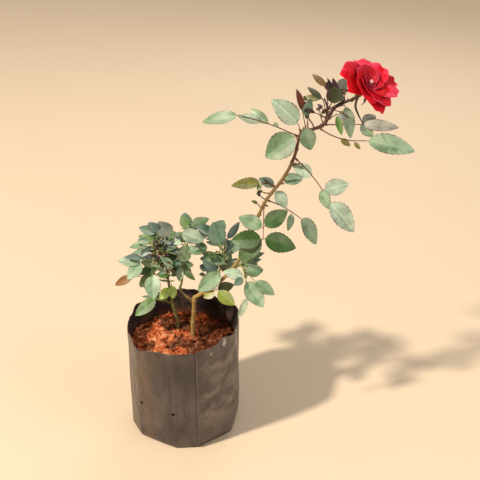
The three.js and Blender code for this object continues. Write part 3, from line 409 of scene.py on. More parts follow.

# Bloom: each petal's turn round the axis, length, width, the angles from the axis at which it
# starts and ends, and its colour: lit petals are painted lighter and pinker, as where light falls,
# heart petals painted darker, as shade deep in the cup
BLOOM_HEADING, BLOOM_RISE = -50, 47
HIP_RADIUS, HIP_LENGTH, HIP_SINK = 4, 14, 3
PETAL_ROOT, PETAL_SKEW = 5.5, 7
PETALS = [
    (174, 36.5, 32, 45, 96, "lit"), (115, 31, 34, 45, 96, "lit"), (36, 35, 38, 45, 96, "lit"),
    (-66, 34.5, 34, 50, 98, "deep"), (-112, 31, 52, 38, 76, "deep"), (71, 30, 34, 34, 82, "lit"),
    (-6, 35, 36, 38, 86, "lit"), (-40, 33, 34, 44, 92, "lit"), (205, 31, 34, 46, 90, "deep"),
    (20, 19, 22, 22, 64, "heart"), (92, 19, 22, 22, 66, "heart"), (164, 15, 20, 22, 62, "heart"),
    (236, 13, 18, 20, 56, "heart"), (308, 15, 20, 22, 62, "heart"),
]
# Broad petals that close the cup between the half-open ones and the heart, listed in the same way
CUP_PETALS = [
    (-95, 25, 44, 30, 66, "deep"), (-150, 24, 40, 31, 68, "deep"), (-38, 25, 40, 30, 68, "deep"),
    (140, 24, 34, 28, 66, "heart"),
]
# Finer whorls at the heart: count, length, width, start, end
HEART_WHORLS = [(6, 14, 15, 16, 60), (5, 11, 11, 8, 50), (4, 8, 7, 0, 36)]
# Steps in which a petal's lean is followed, how far its tip curls over and from where, and how
# much its border waves, ruffles and is notched
PETAL_STEPS, PETAL_CURL, PETAL_CURL_FROM = 8, 26, 0.75
PETAL_WAVE, PETAL_RUFFLE, PETAL_NOTCH = 0.05, 0.035, 0.1
# The hip's shape: height over its top and share of its radius
HIP_PROFILE = [(-14, 0.42), (-11.9, 0.75), (-7, 1.02), (-2.8, 0.98), (0, 0.8), (1.2, 0.9)]
SEPAL_LENGTHS, SEPAL_BREADTH, SEPAL_THICKNESS = (26, 17, 17, 17, 17), 2.6, 0.5
# The long sepal that hangs behind the bloom: across, up and towards the camera from the bloom's foot
LONG_SEPAL = [(-2, -2, -1), (-8, -12, -2), (-9.5, -20, -2), (-5.5, -31, -1), (0.5, -43, 0)]
# Pale tips at the heart: count, turn from one to the next in radians, height of foot and tip
STAMENS, STAMEN_TURN, STAMEN_FOOT, STAMEN_TIP = 16, 2.4, 3, 16.6

# Side shoots: limb or stem, place, heading, rise, length, radius, small leaves and their length
SHOOTS = [
    ("arching_cane_high", 0.34, -20, 5, 9, 1.3, 1, 5),
    ("arching_cane_high", 0.3, -60, 40, 8, 0.9, 2, 7),
    ("arching_cane_middle", 0.86, 165, 25, 13, 1.0, 3, 11),
    ("arching_cane_middle", 0.72, 170, 10, 12, 0.9, 3, 10),
    ("arching_cane_middle", 0.6, 200, 35, 10, 0.8, 4, 8),
    ("arching_cane_middle", 0.45, 190, 30, 8, 0.8, 3, 9),
    ("arching_cane_middle", 0.5, -60, 10, 7, 0.8, 2, 7),
    ("arching_cane_low", 0.9, 160, 20, 8, 0.7, 2, 7),
    ("arching_cane_low", 0.45, 190, 60, 12, 0.8, 3, 9),
    ("flower_stalk", 0.12, 120, 50, 14, 0.9, 2, 9), ("flower_stalk", 0.2, 150, 65, 20, 1.0, 3, 10),
    ("flower_stalk", 0.36, 130, 45, 17, 0.9, 2, 9), ("flower_stalk", 0.55, 170, 30, 13, 0.9, 3, 9),
    ("flower_stalk", 0.62, -40, -20, 9, 0.7, 2, 8), ("flower_stalk", 0.8, 80, 50, 9, 0.8, 2, 9),
    ("main_cane", 0.86, 170, 20, 9, 1.0, 1, 6), ("second_cane", 0.9, -60, 40, 11, 0.9, 2, 8),
    ("second_cane", 0.7, 20, 35, 9, 0.8, 2, 7),
]
# Dry twigs in the heart of a mass: mass, count, least and most place, length, radius, heading and
# the length of their withered leaves
DRY_TWIGS = [
    ("low_left_mass", 22, 0.52, 0.98, 16, 0.75, -60, 8),
    ("low_left_mass", 34, 0.46, 0.92, 16, 0.95, 5, 8),
    ("low_left_mass", 9, 0.45, 0.8, 12, 0.8, -120, 8),
    ("low_top_mass", 5, 0.4, 0.7, 13, 0.7, 160, 6), ("middle_mass", 7, 0.4, 0.9, 13, 0.6, -70, 7),
]
SHOOT_BLADE_BREADTH, SHOOT_BLADE_FOLD, SHOOT_BLADE_CURL = 0.42, 24, 0.12

# Lights: name, place, size in metres and colour. All aim at the plant's middle.
LIGHTS = [
    ("key", (-2.7, -1.5, 3.1), 0.3, (1.0, 0.91, 0.78)),
    ("fill", (1.5, -0.7, 0.9), 1.4, (1.0, 0.97, 0.93)),
    ("back", (0.5, 1.6, 1.3), 1.2, (1.0, 0.97, 0.92)),
]
LIGHT_AIM, SKY_COLOUR = (0.06, 0, 0.26), (1.0, 0.95, 0.88, 1.0)
# Half the floor's side, and how far it lies below the bag, in metres
FLOOR_REACH, FLOOR_DROP = 6, 0.0004


def direction(heading, rise):
    """The unit vector of a heading and a rise in degrees."""
    h, r = math.radians(heading), math.radians(rise)
    return np.array([math.cos(h) * math.cos(r), math.sin(h) * math.cos(r), math.sin(r)])


def unit(vector):
    """The vector at length one."""
    return vector / max(np.linalg.norm(vector), 1e-12)


def apart(heading, other):
    """How far one heading lies from another, from -180 to 180 degrees."""
    return (heading - other + 180) % 360 - 180


def linear(hex_colour):
    """A web colour as linear red, green, blue and full opacity."""
    parts = [int(hex_colour[i:i + 2], 16) / 255 for i in (1, 3, 5)]
    return (*[c / 12.92 if c <= 0.04045 else ((c + 0.055) / 1.055) ** 2.4 for c in parts], 1.0)


def series(seed):
    """A repeatable series of numbers from -1 to 1, the same as in the part's source."""
    state = seed * 9973 + 1
    while True:
        state = state * 48271 % 2147483647
        yield 2 * state / 2147483647 - 1


class Course:
    """A smooth centripetal curve through points, measured along its own length."""

    def __init__(self, points, per_span=16):
        knots = [np.array(p, float) for p in points]
        knots = [2 * knots[0] - knots[1], *knots, 2 * knots[-1] - knots[-2]]
        samples = []
        for a, b, c, d in zip(knots, knots[1:], knots[2:], knots[3:]):
            before, here, after = [
                max(np.linalg.norm(q - p), 1e-9) ** 0.5 for p, q in ((a, b), (b, c), (c, d))]
            leave = ((b - a) / before - (c - a) / (before + here) + (c - b) / here) * here
            arrive = ((c - b) / here - (d - b) / (here + after) + (d - c) / after) * here
            for t in np.arange(per_span) / per_span:
                square, cube = t * t, t ** 3
                samples.append(b + leave * t + (3 * c - 3 * b - 2 * leave - arrive) * square
                               + (2 * b - 2 * c + leave + arrive) * cube)
        samples.append(knots[-2])
        self.samples = np.array(samples)
        steps = np.linalg.norm(np.diff(self.samples, axis=0), axis=1)
        self.reached = np.concatenate([[0], np.cumsum(steps)])
        self.length = self.reached[-1]

    def at(self, share):
        """The point at a share of the length, or an array of points."""
        along = np.asarray(share) * self.length
        columns = [np.interp(along, self.reached, self.samples[:, k]) for k in range(3)]
        return np.stack(columns, axis=-1)

    def heading_at(self, share):
        """The unit tangent at a share of the length."""
        return unit(self.at(min(1, share + 0.01)) - self.at(max(0, share - 0.01)))


def course_from(start, steps):
    """The curve through a start and steps of length, heading and rise."""
    points = [np.array(start, float)]
    for length, heading, rise in steps:
        points.append(points[-1] + length * direction(heading, rise))
    return Course(points)


@functools.cache
def limb_courses():
    """Each cane's and bough's curve by name."""
    courses = {}
    for name, plan in LIMBS.items():
        start = courses[plan["on"]].at(plan["at"]) if "on" in plan else plan["start"]
        courses[name] = course_from(start, plan["course"])
    return courses


class Shape:
    """Points and faces gathered for one piece, each face with the number of its finish."""

    def __init__(self):
        self.points, self.faces, self.finishes, self.pattern, self.edge = [], [], [], [], []
        self.count = 0

    def add(self, points, faces, finishes, pattern=None, edge=None):
        """Adds a part. Finishes is a number or one for each face, pattern the points' own map."""
        count = len(points)
        self.points.append(np.asarray(points, float))
        self.faces.extend([tuple(i + self.count for i in face) for face in faces])
        self.finishes.extend(finishes if isinstance(finishes, list) else [finishes] * len(faces))
        self.pattern.append(np.zeros((count, 2)) if pattern is None else pattern)
        self.edge.append(np.zeros(count, bool) if edge is None else edge)
        self.count += count

    def mesh(self, name, finishes):
        """The gathered parts as one smooth mesh, with creases along the marked edges."""
        mesh = bpy.data.meshes.new(name)
        mesh.from_pydata((np.vstack(self.points) * MM).tolist(), [], self.faces)
        for finish in finishes:
            mesh.materials.append(finish)
        mesh.polygons.foreach_set("material_index", np.array(self.finishes, np.int32))
        mesh.polygons.foreach_set("use_smooth", np.ones(len(self.faces), bool))
        corners = np.zeros(len(mesh.loops), np.int32)
        mesh.loops.foreach_get("vertex_index", corners)
        layer = mesh.uv_layers.new(name="pattern")
        layer.data.foreach_set("uv", np.vstack(self.pattern)[corners].astype(np.float32).ravel())
        ends = np.zeros(len(mesh.edges) * 2, np.int32)
        mesh.edges.foreach_get("vertices", ends)
        marked = np.concatenate(self.edge)[ends.reshape(-1, 2)].all(axis=1)
        mesh.edges.foreach_set("use_edge_sharp", marked)
        mesh.update()
        return mesh


def shown(name, data):
    """A new object in the scene that holds the data."""
    made = bpy.data.objects.new(name, data)
    bpy.context.scene.collection.objects.link(made)
    return made


def piece(name, mesh, slot, *nodes):
    """Puts a finished mesh in the scene on the plant's body, in place of the nodes given."""
    made = shown(name, mesh)
    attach(made, "root")
    if nodes:
        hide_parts(*nodes)


def bands(rows, sides):
    """The faces between rows of points that run round something."""
    faces = []
    for low in range(0, (rows - 1) * sides, sides):
        for k in range(sides):
            following = (k + 1) % sides
            faces.append((low + k, low + following, low + sides + following, low + sides + k))
    return faces


def skin(rows, sides):
    """The faces of a closed body: bands between its rows, and fans to a pole at each end."""
    pole, top = rows * sides, (rows - 1) * sides
    ends = [(k, (k + 1) % sides) for k in range(sides)]
    return [*bands(rows, sides), *[(pole, following, k) for k, following in ends],
            *[(pole + 1, top + k, top + following) for k, following in ends]]


def tube(points, radii, sides):
    """A closed tube along points: its own points and faces, with a pole at each end."""
    points = np.asarray(points, float)
    radii = np.broadcast_to(np.asarray(radii, float), len(points))
    tangents = np.gradient(points, axis=0)
    turn = 2 * np.pi * np.arange(sides) / sides
    side = np.array([0.0, 1.0, 0.0])
    rings = []
    for centre, tangent, radius in zip(points, tangents, radii):
        tangent = unit(tangent)
        if abs(side @ tangent) > 0.9:
            side = np.array([1.0, 0.0, 0.0])
        side = unit(side - (side @ tangent) * tangent)
        over = np.cross(tangent, side)
        rings.append(centre + radius * (np.outer(np.cos(turn), side) + np.outer(np.sin(turn), over)))
    return np.vstack([*rings, points[:1], points[-1:]]), skin(len(points), sides)


# Node trees


class Wire:
    """One output of a node tree. Arithmetic on it adds Math nodes."""

    def __init__(self, tree, socket):
        self.tree, self.socket = tree, socket

    def math(self, operation, *values):
        """The result of a Math node on this output and the values."""
        inputs = dict(enumerate((self, *values)))
        return self.tree.node("ShaderNodeMath", {"operation": operation}, inputs)

    def __add__(self, other):
        return self.math("ADD", other)

    def __sub__(self, other):
        return self.math("SUBTRACT", other)

    def __mul__(self, other):
        return self.math("MULTIPLY", other)

    def __rsub__(self, other):
        return self.tree.node("ShaderNodeMath", {"operation": "SUBTRACT"}, {0: other, 1: self})

    __radd__, __rmul__ = __add__, __mul__

    def ramp(self, low, high):
        """0 below low, 1 above high and smooth between them; low may be the larger."""
        return self.tree.node(
            "ShaderNodeMapRange", {"interpolation_type": "SMOOTHSTEP"},
            {"Value": self, "From Min": low, "From Max": high})


class Tree:
    """Writes one node tree: all its nodes but the arithmetic are made by node()."""

    def __init__(self, tree):
        self.tree = tree

    def node(self, kind, settings=None, inputs=None, output=0):
        """Makes a node, its settings first, then the values or links of its sockets."""
        made = self.tree.nodes.new(kind)
        for name, value in (settings or {}).items():
            setattr(made, name, value)
        for name, value in (inputs or {}).items():
            if isinstance(value, Wire):
                self.tree.links.new(value.socket, made.inputs[name])
            else:
                made.inputs[name].default_value = value
        return Wire(self, made.outputs[output]) if made.outputs else None

    def mix(self, share, first, second):
        """Two colours mixed by a share."""
        settings = {"data_type": "RGBA"}
        return self.node("ShaderNodeMix", settings, {0: share, 6: first, 7: second}, output=2)

    def split(self, vector):
        """The three parts of a vector."""
        parts = self.node("ShaderNodeSeparateXYZ", {}, {0: vector}).socket.node.outputs
        return [Wire(self, part) for part in parts]

    def here(self):
        """The object coordinates x, y and z."""
        return self.split(self.node("ShaderNodeTexCoord", output="Object"))

    def own_map(self):
        """The piece's own map, along and across a leaflet or petal."""
        return self.node("ShaderNodeUVMap", {"uv_map": "pattern"})

    def place(self, stretch=(1, 1, 1)):
        """Object coordinates, stretched."""
        here = self.node("ShaderNodeTexCoord", output="Object")
        return self.node("ShaderNodeMapping", {}, {"Vector": here, "Scale": stretch})

    def grain(self, scale, detail=3.0, where=None, rough=0.5):
        """Noise in object coordinates, from 0 to 1."""
        inputs = {"Scale": scale, "Detail": detail, "Roughness": rough}
        inputs["Vector"] = where or self.place()
        return self.node("ShaderNodeTexNoise", {}, inputs)

    def scatter(self, inputs):
        """Points strewn over the geometry, none nearer to another than the spacing."""
        settings = {"distribute_method": "POISSON"}
        return self.node("GeometryNodeDistributePointsOnFaces", settings, {
            "Mesh": inputs["Geometry"], "Distance Min": inputs["Spacing"],
            "Density Max": inputs["Density"], "Seed": inputs["Seed"]})

    def moved(self, geometry, vector, depth):
        """The geometry with its points moved along a vector by a depth."""
        offset = self.node(
            "ShaderNodeVectorMath", {"operation": "SCALE"}, {0: vector, "Scale": depth})
        return self.node("GeometryNodeSetPosition", {}, {"Geometry": geometry, "Offset": offset})

    def bump(self, height, distance, strength=1.0, under=None):
        """A Bump node for a height of 0 to 1 and a depth in metres."""
        inputs = {"Height": height, "Distance": distance, "Strength": strength}
        if under:
            inputs["Normal"] = under
        return self.node("ShaderNodeBump", {}, inputs)


def finish(name, write):
    """A material whose tree is written by write(tree), which returns the shader's inputs."""
    material = bpy.data.materials.new(name)
    material.use_nodes = True
    material.node_tree.nodes.clear()
    tree = Tree(material.node_tree)
    shader = tree.node("ShaderNodeBsdfPrincipled", {}, write(tree))
    tree.node("ShaderNodeOutputMaterial", {}, {"Surface": shader})
    return material


def shade(colour, factor):
    """A colour made darker or lighter by a factor."""
    return (*[min(1.0, c * factor) for c in colour[:3]], 1.0)


def leaf_finish(name, colour, edge, shine):
    """Satin leaf: midrib and side veins on its own map, pale waxy bloom that is partly a painted
    sheen, dark patches of painted shade, one half painted lighter, a tinted margin.
    """
    def write(tree):
        along, side, _ = tree.split(tree.own_map())
        across = side.math("ABSOLUTE")
        midrib = across.ramp(0.09, 0.02)
        vein = (along * 8 - across * 2.2).math("FRACT").math("PINGPONG", 0.5)
        line = vein.ramp(0.09, 0.0) * across.ramp(0.95, 0.6)
        mottle, wax_and_sheen, painted_shade_blotch = tree.grain(90, 2), tree.grain(38, 3), tree.grain(55, 4, rough=0.65)
        base = tree.mix(mottle.ramp(0.35, 0.7), shade(colour, 0.8), shade(colour, 1.12))
        # Pale waxy bloom, partly a painted sheen
        base = tree.mix(wax_and_sheen.ramp(0.46, 0.7) * min(0.34, colour[1] * 1.3), base, linear("#c3cfb4"))
        # Painted shade in dark patches
        base = tree.mix(painted_shade_blotch.ramp(0.48, 0.66) * 0.62, base, shade(colour, 0.36))
        # Painted light: one half of the leaflet lighter, as where a folded leaf faces the light
        base = tree.mix(side.ramp(0.0, 0.12) * min(0.14, colour[1] * 0.6), base, linear("#dde6cf"))
        base = tree.mix((midrib * 0.45 + line * 0.12).math("MINIMUM", 0.5), base, shade(colour, 1.8))
        base = tree.mix(across.ramp(0.8, 1.0) * 0.8, base, edge)
        relief = tree.bump(vein.ramp(0, 0.5) * 0.3 - midrib, 0.0003, 0.2, tree.bump(wax_and_sheen, 0.002, 0.3))
        return {"Base Color": base, "Roughness": mottle * 0.14 + shine, "Normal": relief,
                "Specular IOR Level": 0.55}
    return finish(name, write)


def plain_leaf_finish(name, colour):
    """A leaflet's underside or edge: matt, with faint mottling."""
    def write(tree):
        mottle = tree.grain(120, 2)
        base = tree.mix(mottle.ramp(0.3, 0.7), shade(colour, 0.88), shade(colour, 1.1))
        return {"Base Color": base, "Roughness": 0.62, "Specular IOR Level": 0.35}
    return finish(name, write)


def bark_finish(name, low, high, bottom, top):
    """Bark that changes from one colour to another between two heights in millimetres."""
    def write(tree):
        height = tree.here()[2]
        streaks = tree.grain(420, 4, tree.place((1, 1, 0.16)))
        spots = tree.grain(520, 2)
        patches = tree.grain(70, 3)
        base = tree.mix((height + patches * 0.02).ramp(bottom * MM, top * MM + 0.01), low, high)
        base = tree.mix(streaks.ramp(0.4, 0.62) * 0.5, base, tree.mix(0.5, shade(low, 0.45), base))
        base = tree.mix(spots.ramp(0.66, 0.72) * 0.5, base, shade(high, 1.7))
        base = tree.mix(patches.ramp(0.55, 0.7) * 0.45, base, shade(low, 0.55))
        relief = tree.bump(streaks, 0.0005, 0.7)
        return {"Base Color": base, "Roughness": patches * 0.2 + 0.45, "Normal": relief}
    return finish(name, write)


def skin_finish(name):
    """The bark or skin of what the limbs carry, from its table."""
    low, high, bottom, top = SKINS[name]
    return bark_finish(name, linear(low), linear(high), bottom, top)


def bag_finish(colour, dust):
    """Satin plastic sheet: dusty patches, dark streaks, tan ones at the left as painted warm light,
    painted sheen and soft painted glints near the rim at the right, pale crease wear along its folds
    with a painted highlight at the lapped edge, and a painted shadow line beside that edge."""
    def write(tree):
        x, y, z = tree.here()

        def line_down(heading, width):
            """A line down the sheet at a heading."""
            turn = math.radians(heading)
            off = (x * math.sin(turn) - y * math.cos(turn)).math("ABSOLUTE")
            facing = (x * math.cos(turn) + y * math.sin(turn)).ramp(0.02, 0.03)
            return off.ramp(width, 0.0) * facing

        patches = tree.grain(22, 5, rough=0.62)
        streaks = tree.grain(60, 4, tree.place((1, 1, 0.25)), 0.65)
        fine = tree.grain(900, 3)
        crinkle = tree.grain(75, 3, tree.place((1, 1, 0.6)), 0.55)
        wrinkle = tree.grain(34, 4, tree.place((1, 1, 1.5)), 0.6)
        base = tree.mix(patches.ramp(0.38, 0.66) * 0.85, colour, dust)
        base = tree.mix(streaks.ramp(0.46, 0.66) * 0.6, base, shade(colour, 0.4))
        # Painted warm light: tan streaks on the left side, where the light falls warm on the sheet
        tan = (x + y * 0.2).ramp(-0.03, -0.07) * streaks.ramp(0.35, 0.65)
        base = tree.mix(tan * 0.35, base, linear("#86664c"))
        base = tree.mix(fine.ramp(0.56, 0.74) * 0.22, base, shade(dust, 1.5))
        # Painted sheen: the right side of the sheet lighter in its wrinkles, as if reflecting light,
        # with painted glints near the rim
        right = (x + y * 0.2).ramp(0.0, 0.022) * (z.ramp(0.02, 0.06) * 0.6 + 0.4)
        base = tree.mix(right * (wrinkle.ramp(0.44, 0.62) * 0.62 + 0.14), base, shade(dust, 2.2))
        glint = crinkle.ramp(0.58, 0.68) * z.ramp(0.1, 0.14)
        base = tree.mix(right * glint * 0.6, base, linear("#c9c0b4"))
        # Pale lines along the folds: crease wear, and at the lapped edge a painted highlight
        for heading, width, strength in BAG_FOLD_WEAR_AND_HIGHLIGHT:
            fold_wear_and_highlight = line_down(heading, width) * (streaks.ramp(0.35, 0.6) * 0.6 + 0.4)
            base = tree.mix(fold_wear_and_highlight * strength, base, shade(dust, 2.4))
        shadow = line_down(BAG_LAP - LAP_SHADOW, LAP_SHADOW_WIDTH)
        base = tree.mix(shadow * 0.75, base, shade(colour, 0.25))
        folds = tree.bump(wrinkle, 0.008, 0.5, tree.bump(crinkle, 0.0035, 0.5))
        relief = tree.bump(fine, 0.0003, 0.25, folds)
        return {"Base Color": base, "Roughness": patches * 0.25 + 0.24, "Normal": relief,
                "Specular IOR Level": 0.6}
    return finish("bag_sheet", write)


def bag_inside_finish(colour):
    """The inside of the bag: darker, dusty in patches and smeared with soil near the soil."""
    def write(tree):
        smear = (tree.here()[2] + tree.grain(60, 4) * 0.03).ramp(0.154, 0.132)
        base = tree.mix(tree.grain(85, 4).ramp(0.44, 0.64) * 0.6, colour, linear("#5e463c"))
        base = tree.mix(smear * 0.55, base, linear("#7a4a33"))
        return {"Base Color": base, "Roughness": 0.6, "Specular IOR Level": 0.4}
    return finish("bag_inside", write)


def soil_finish(name, colour, light):
    """Crumbly red soil with painted light and shade: pale crests as painted highlights on the crumbs,
    painted light strongest at the left front, dark patches of painted shade towards the right and
    the back, painted shade in the hollows between crumbs, and near black painted shade below the
    top, where only the drain holes show it."""
    def write(tree):
        x, y, z = tree.here()
        crumbs = tree.grain(150, 4, rough=0.62)
        patches = tree.grain(42, 2, rough=0.4)
        # Painted light: the crests are lit most at the left front
        dry = (x * -0.6 - y + patches * 0.05).ramp(-0.03, 0.03) * 0.75 + 0.2
        # Painted shade in patches towards the right and the back
        painted_shade_patches = (patches + x * 2.4 + y * 1.2).ramp(0.45, 0.53)
        base = tree.mix(painted_shade_patches, shade(colour, 1.12), shade(colour, 0.24))
        # Pale crests: painted highlights on the crumbs
        base = tree.mix(crumbs.ramp(0.44, 0.66) * dry * (1 - painted_shade_patches * 0.7), base, light)
        # Painted shade in the hollows between crumbs
        base = tree.mix(crumbs.ramp(0.42, 0.3) * 0.8, base, shade(colour, 0.2))
        # Near black painted shade below the top, where the drain holes show the soil
        base = tree.mix(z.ramp(0.114, 0.104), base, shade(colour, 0.05))
        return {"Base Color": base, "Roughness": 0.94, "Normal": tree.bump(crumbs, 0.003, 0.8),
                "Specular IOR Level": 0.2}
    return finish(name, write)


def petal_finish(name, colour, rim, lit_patch_share):
    """Velvety petal, streaked along its length, with patches of painted light in the rim colour,
    painted shade towards its foot and a paler rim.
    """
    def write(tree):
        own_map = tree.own_map()
        along, side, _ = tree.split(own_map)
        across = side.math("ABSOLUTE")
        stretched = tree.node("ShaderNodeMapping", {}, {"Vector": own_map, "Scale": (1.2, 9, 1)})
        streaks = tree.grain(4, 3, stretched)
        soft = tree.grain(70, 2)
        base = tree.mix(streaks.ramp(0.3, 0.75), shade(colour, 0.7), shade(colour, 1.15))
        # Painted light: patches flushed with the rim colour
        base = tree.mix(soft.ramp(0.35, 0.75) * lit_patch_share, base, rim)
        # Painted shade: darker towards the petal's foot, deep in the cup
        base = tree.mix(along.ramp(0.45, 0.0) * 0.5, base, shade(colour, 0.35))
        border = along.ramp(0.95, 1.0).math("MAXIMUM", across.ramp(0.94, 1.0) * along.ramp(0.3, 0.6))
        base = tree.mix(border * 0.6, base, rim)
        relief = tree.bump(streaks, 0.0006, 0.4)
        return {"Base Color": base, "Roughness": soft * 0.15 + 0.45, "Normal": relief,
                "Sheen Weight": 0.02, "Sheen Roughness": 0.4, "Specular IOR Level": 0.16}
    return finish(name, write)


def geometry_tree(name, wanted, write):
    """A geometry tree whose nodes are written by write(tree, inputs), which returns the result.

    wanted lists its inputs by name, kind and default. The finish comes last.
    """
    group = bpy.data.node_groups.new(name, "GeometryNodeTree")
    group.interface.new_socket("Geometry", in_out="INPUT", socket_type="NodeSocketGeometry")
    for wish, kind, default in [*wanted, ("Finish", "Material", None)]:
        socket = group.interface.new_socket(wish, in_out="INPUT", socket_type="NodeSocket" + kind)
        if default is not None:
            socket.default_value = default
    group.interface.new_socket("Geometry", in_out="OUTPUT", socket_type="NodeSocketGeometry")
    tree = Tree(group)
    start = tree.node("NodeGroupInput").socket.node
    inputs = {socket.name: Wire(tree, socket) for socket in start.outputs if socket.name}
    made = write(tree, inputs)
    plain = tree.node("GeometryNodeRealizeInstances", {}, {"Geometry": made})
    done = tree.node(
        "GeometryNodeSetMaterial", {}, {"Geometry": plain, "Material": inputs["Finish"]})
    tree.node("NodeGroupOutput", {}, {"Geometry": done})
    return group


def plain_mesh(holder, name):
    """The object's evaluated mesh, on its own."""
    graph = bpy.context.evaluated_depsgraph_get()
    mesh = bpy.data.meshes.new_from_object(
        holder.evaluated_get(graph), preserve_all_data_layers=True, depsgraph=graph)
    mesh.name = name
    return mesh


def grow(name, start, group, values):
    """Runs a geometry tree on a mesh and returns the result as a plain mesh."""
    holder = shown(name, start)
    modifier = holder.modifiers.new(group.name, "NODES")
    modifier.node_group = group
    for item in group.interface.items_tree:
        if item.in_out == "INPUT" and item.name in values:
            modifier[item.identifier] = values[item.name]
    mesh = plain_mesh(holder, name)
    bpy.data.objects.remove(holder)
    if not mesh.polygons:
        raise RuntimeError(f"the tree {group.name} made no faces for {name}")
    return mesh


@functools.cache
def cane_tree():
    """Sweeps a circle along a course with its own girth, and roughens it like bark."""
    def write(tree, inputs):
        girth = tree.node(
            "GeometryNodeInputNamedAttribute", {"data_type": "FLOAT"}, {"Name": "girth"})
        line = tree.node("GeometryNodeMeshToCurve", {}, {"Mesh": inputs["Geometry"]})
        circle = tree.node(
            "GeometryNodeCurvePrimitiveCircle", {}, {"Resolution": inputs["Sides"], "Radius": 1.0})
        swept = tree.node("GeometryNodeCurveToMesh", {}, {
            "Curve": line, "Profile Curve": circle, "Scale": girth, "Fill Caps": True})
        here = tree.node("GeometryNodeInputPosition")
        narrow = tree.node(
            "ShaderNodeVectorMath", {"operation": "MULTIPLY"}, {0: here, 1: (1.0, 1.0, 0.3)})
        rough = tree.node("ShaderNodeTexNoise", {}, {
            "Vector": narrow, "Scale": inputs["Grain"], "Detail": 2.0})
        depth = (rough - 0.5) * inputs["Relief"]
        moved = tree.moved(swept, tree.node("GeometryNodeInputNormal"), depth)
        return tree.node("GeometryNodeSetShadeSmooth", {}, {0: moved})

    wanted = [("Sides", "Int", 12), ("Relief", "Float", 0.001), ("Grain", "Float", 300.0)]
    return geometry_tree("Cane", wanted, write)


@functools.cache
def prickle_tree():
    """Scatters hooked prickles over a cane, each square to the bark and bent downward."""
    def write(tree, inputs):
        spots = tree.scatter(inputs)
        turned = Wire(tree, spots.socket.node.outputs["Rotation"])
        cone = tree.node("GeometryNodeMeshCone", {}, {
            "Vertices": 7, "Side Segments": 4, "Radius Top": 0.00012,
            "Radius Bottom": inputs["Foot"], "Depth": inputs["Length"]})
        height = tree.split(tree.node("GeometryNodeInputPosition"))[2]
        bend = tree.node("ShaderNodeCombineXYZ", {}, {0: height * height * inputs["Hook"]})
        hooked = tree.node("GeometryNodeSetPosition", {}, {"Geometry": cone, "Offset": bend})
        smooth = tree.node("GeometryNodeSetShadeSmooth", {}, {0: hooked})
        size = tree.node("FunctionNodeRandomValue", {"data_type": "FLOAT"}, {
            2: 0.55, 3: 1.1, "Seed": inputs["Seed"]}, output=1)
        return tree.node("GeometryNodeInstanceOnPoints", {}, {
            "Points": spots, "Instance": smooth, "Rotation": turned, "Scale": size})

    wanted = [("Spacing", "Float", 0.006), ("Density", "Float", 3000.0), ("Seed", "Int", 3),
              ("Foot", "Float", 0.0009), ("Length", "Float", 0.003), ("Hook", "Float", 120.0)]
    return geometry_tree("Prickles", wanted, write)


@functools.cache
def clod_tree():
    """Scatters lumps over the soil, each squashed, turned and roughened at random."""
    def write(tree, inputs):
        spots = tree.scatter(inputs)
        lump = tree.node("GeometryNodeMeshIcoSphere", {}, {
            "Radius": inputs["Radius"], "Subdivisions": inputs["Fineness"]})
        turn = tree.node("FunctionNodeRandomValue", {"data_type": "FLOAT_VECTOR"}, {
            "Max": (6.28, 6.28, 6.28), "Seed": inputs["Seed"]})
        squash = tree.node("FunctionNodeRandomValue", {"data_type": "FLOAT_VECTOR"}, {
            "Min": (0.35, 0.35, 0.3), "Max": (1.2, 1.0, 0.8), "Seed": 7})
        placed = tree.node("GeometryNodeInstanceOnPoints", {}, {
            "Points": spots, "Instance": lump, "Rotation": turn, "Scale": squash})
        loose = tree.node("GeometryNodeRealizeInstances", {}, {"Geometry": placed})
        rough = tree.node(
            "ShaderNodeTexNoise", {}, {"Scale": 300.0, "Detail": 2.0}, output="Color")
        centred = tree.node(
            "ShaderNodeVectorMath", {"operation": "SUBTRACT"}, {0: rough, 1: (0.5, 0.5, 0.5)})
        return tree.moved(loose, centred, inputs["Radius"] * 1.05)

    wanted = [("Spacing", "Float", 0.003), ("Density", "Float", 60000.0), ("Seed", "Int", 5),
              ("Radius", "Float", 0.002), ("Fineness", "Int", 1)]
    return geometry_tree("Clods", wanted, write)


# Bag and soil


def bag_panel(heading):
    """Half the width and the middle of the flat panel that a heading lies on."""
    heading = (heading - BAG_FOLDS[0]) % 360 + BAG_FOLDS[0]
    folds = [*BAG_FOLDS, BAG_FOLDS[0] + 360]
    for low, high in zip(folds, folds[1:]):
        if low <= heading <= high:
            return (high - low) / 2, (high + low) / 2
    raise RuntimeError(f"no panel of the bag holds the heading {heading}")


def bag_radius(heading, z):
    """The bag's outer radius, as in the part's source."""
    half, middle = bag_panel(heading)
    share = min(1, z / BAG_HEIGHT)
    flatness = BAG_FLATNESS_AT_FLOOR + (BAG_FLATNESS_AT_RIM - BAG_FLATNESS_AT_FLOOR) * share
    chord = math.cos(math.radians(half)) / math.cos(math.radians(apart(heading, middle)))
    level = np.interp(z, *zip(*BAG_LEVELS))
    return BAG_RADIUS * level * (1 + (chord - 1) * flatness)


def rim_height(heading):
    """The height of the bag's rim, as in the part's source."""
    return BAG_HEIGHT + sum(rise * math.exp(-((apart(heading, centre) / width) ** 2))
                            for centre, rise, width in RIM_BUMPS)


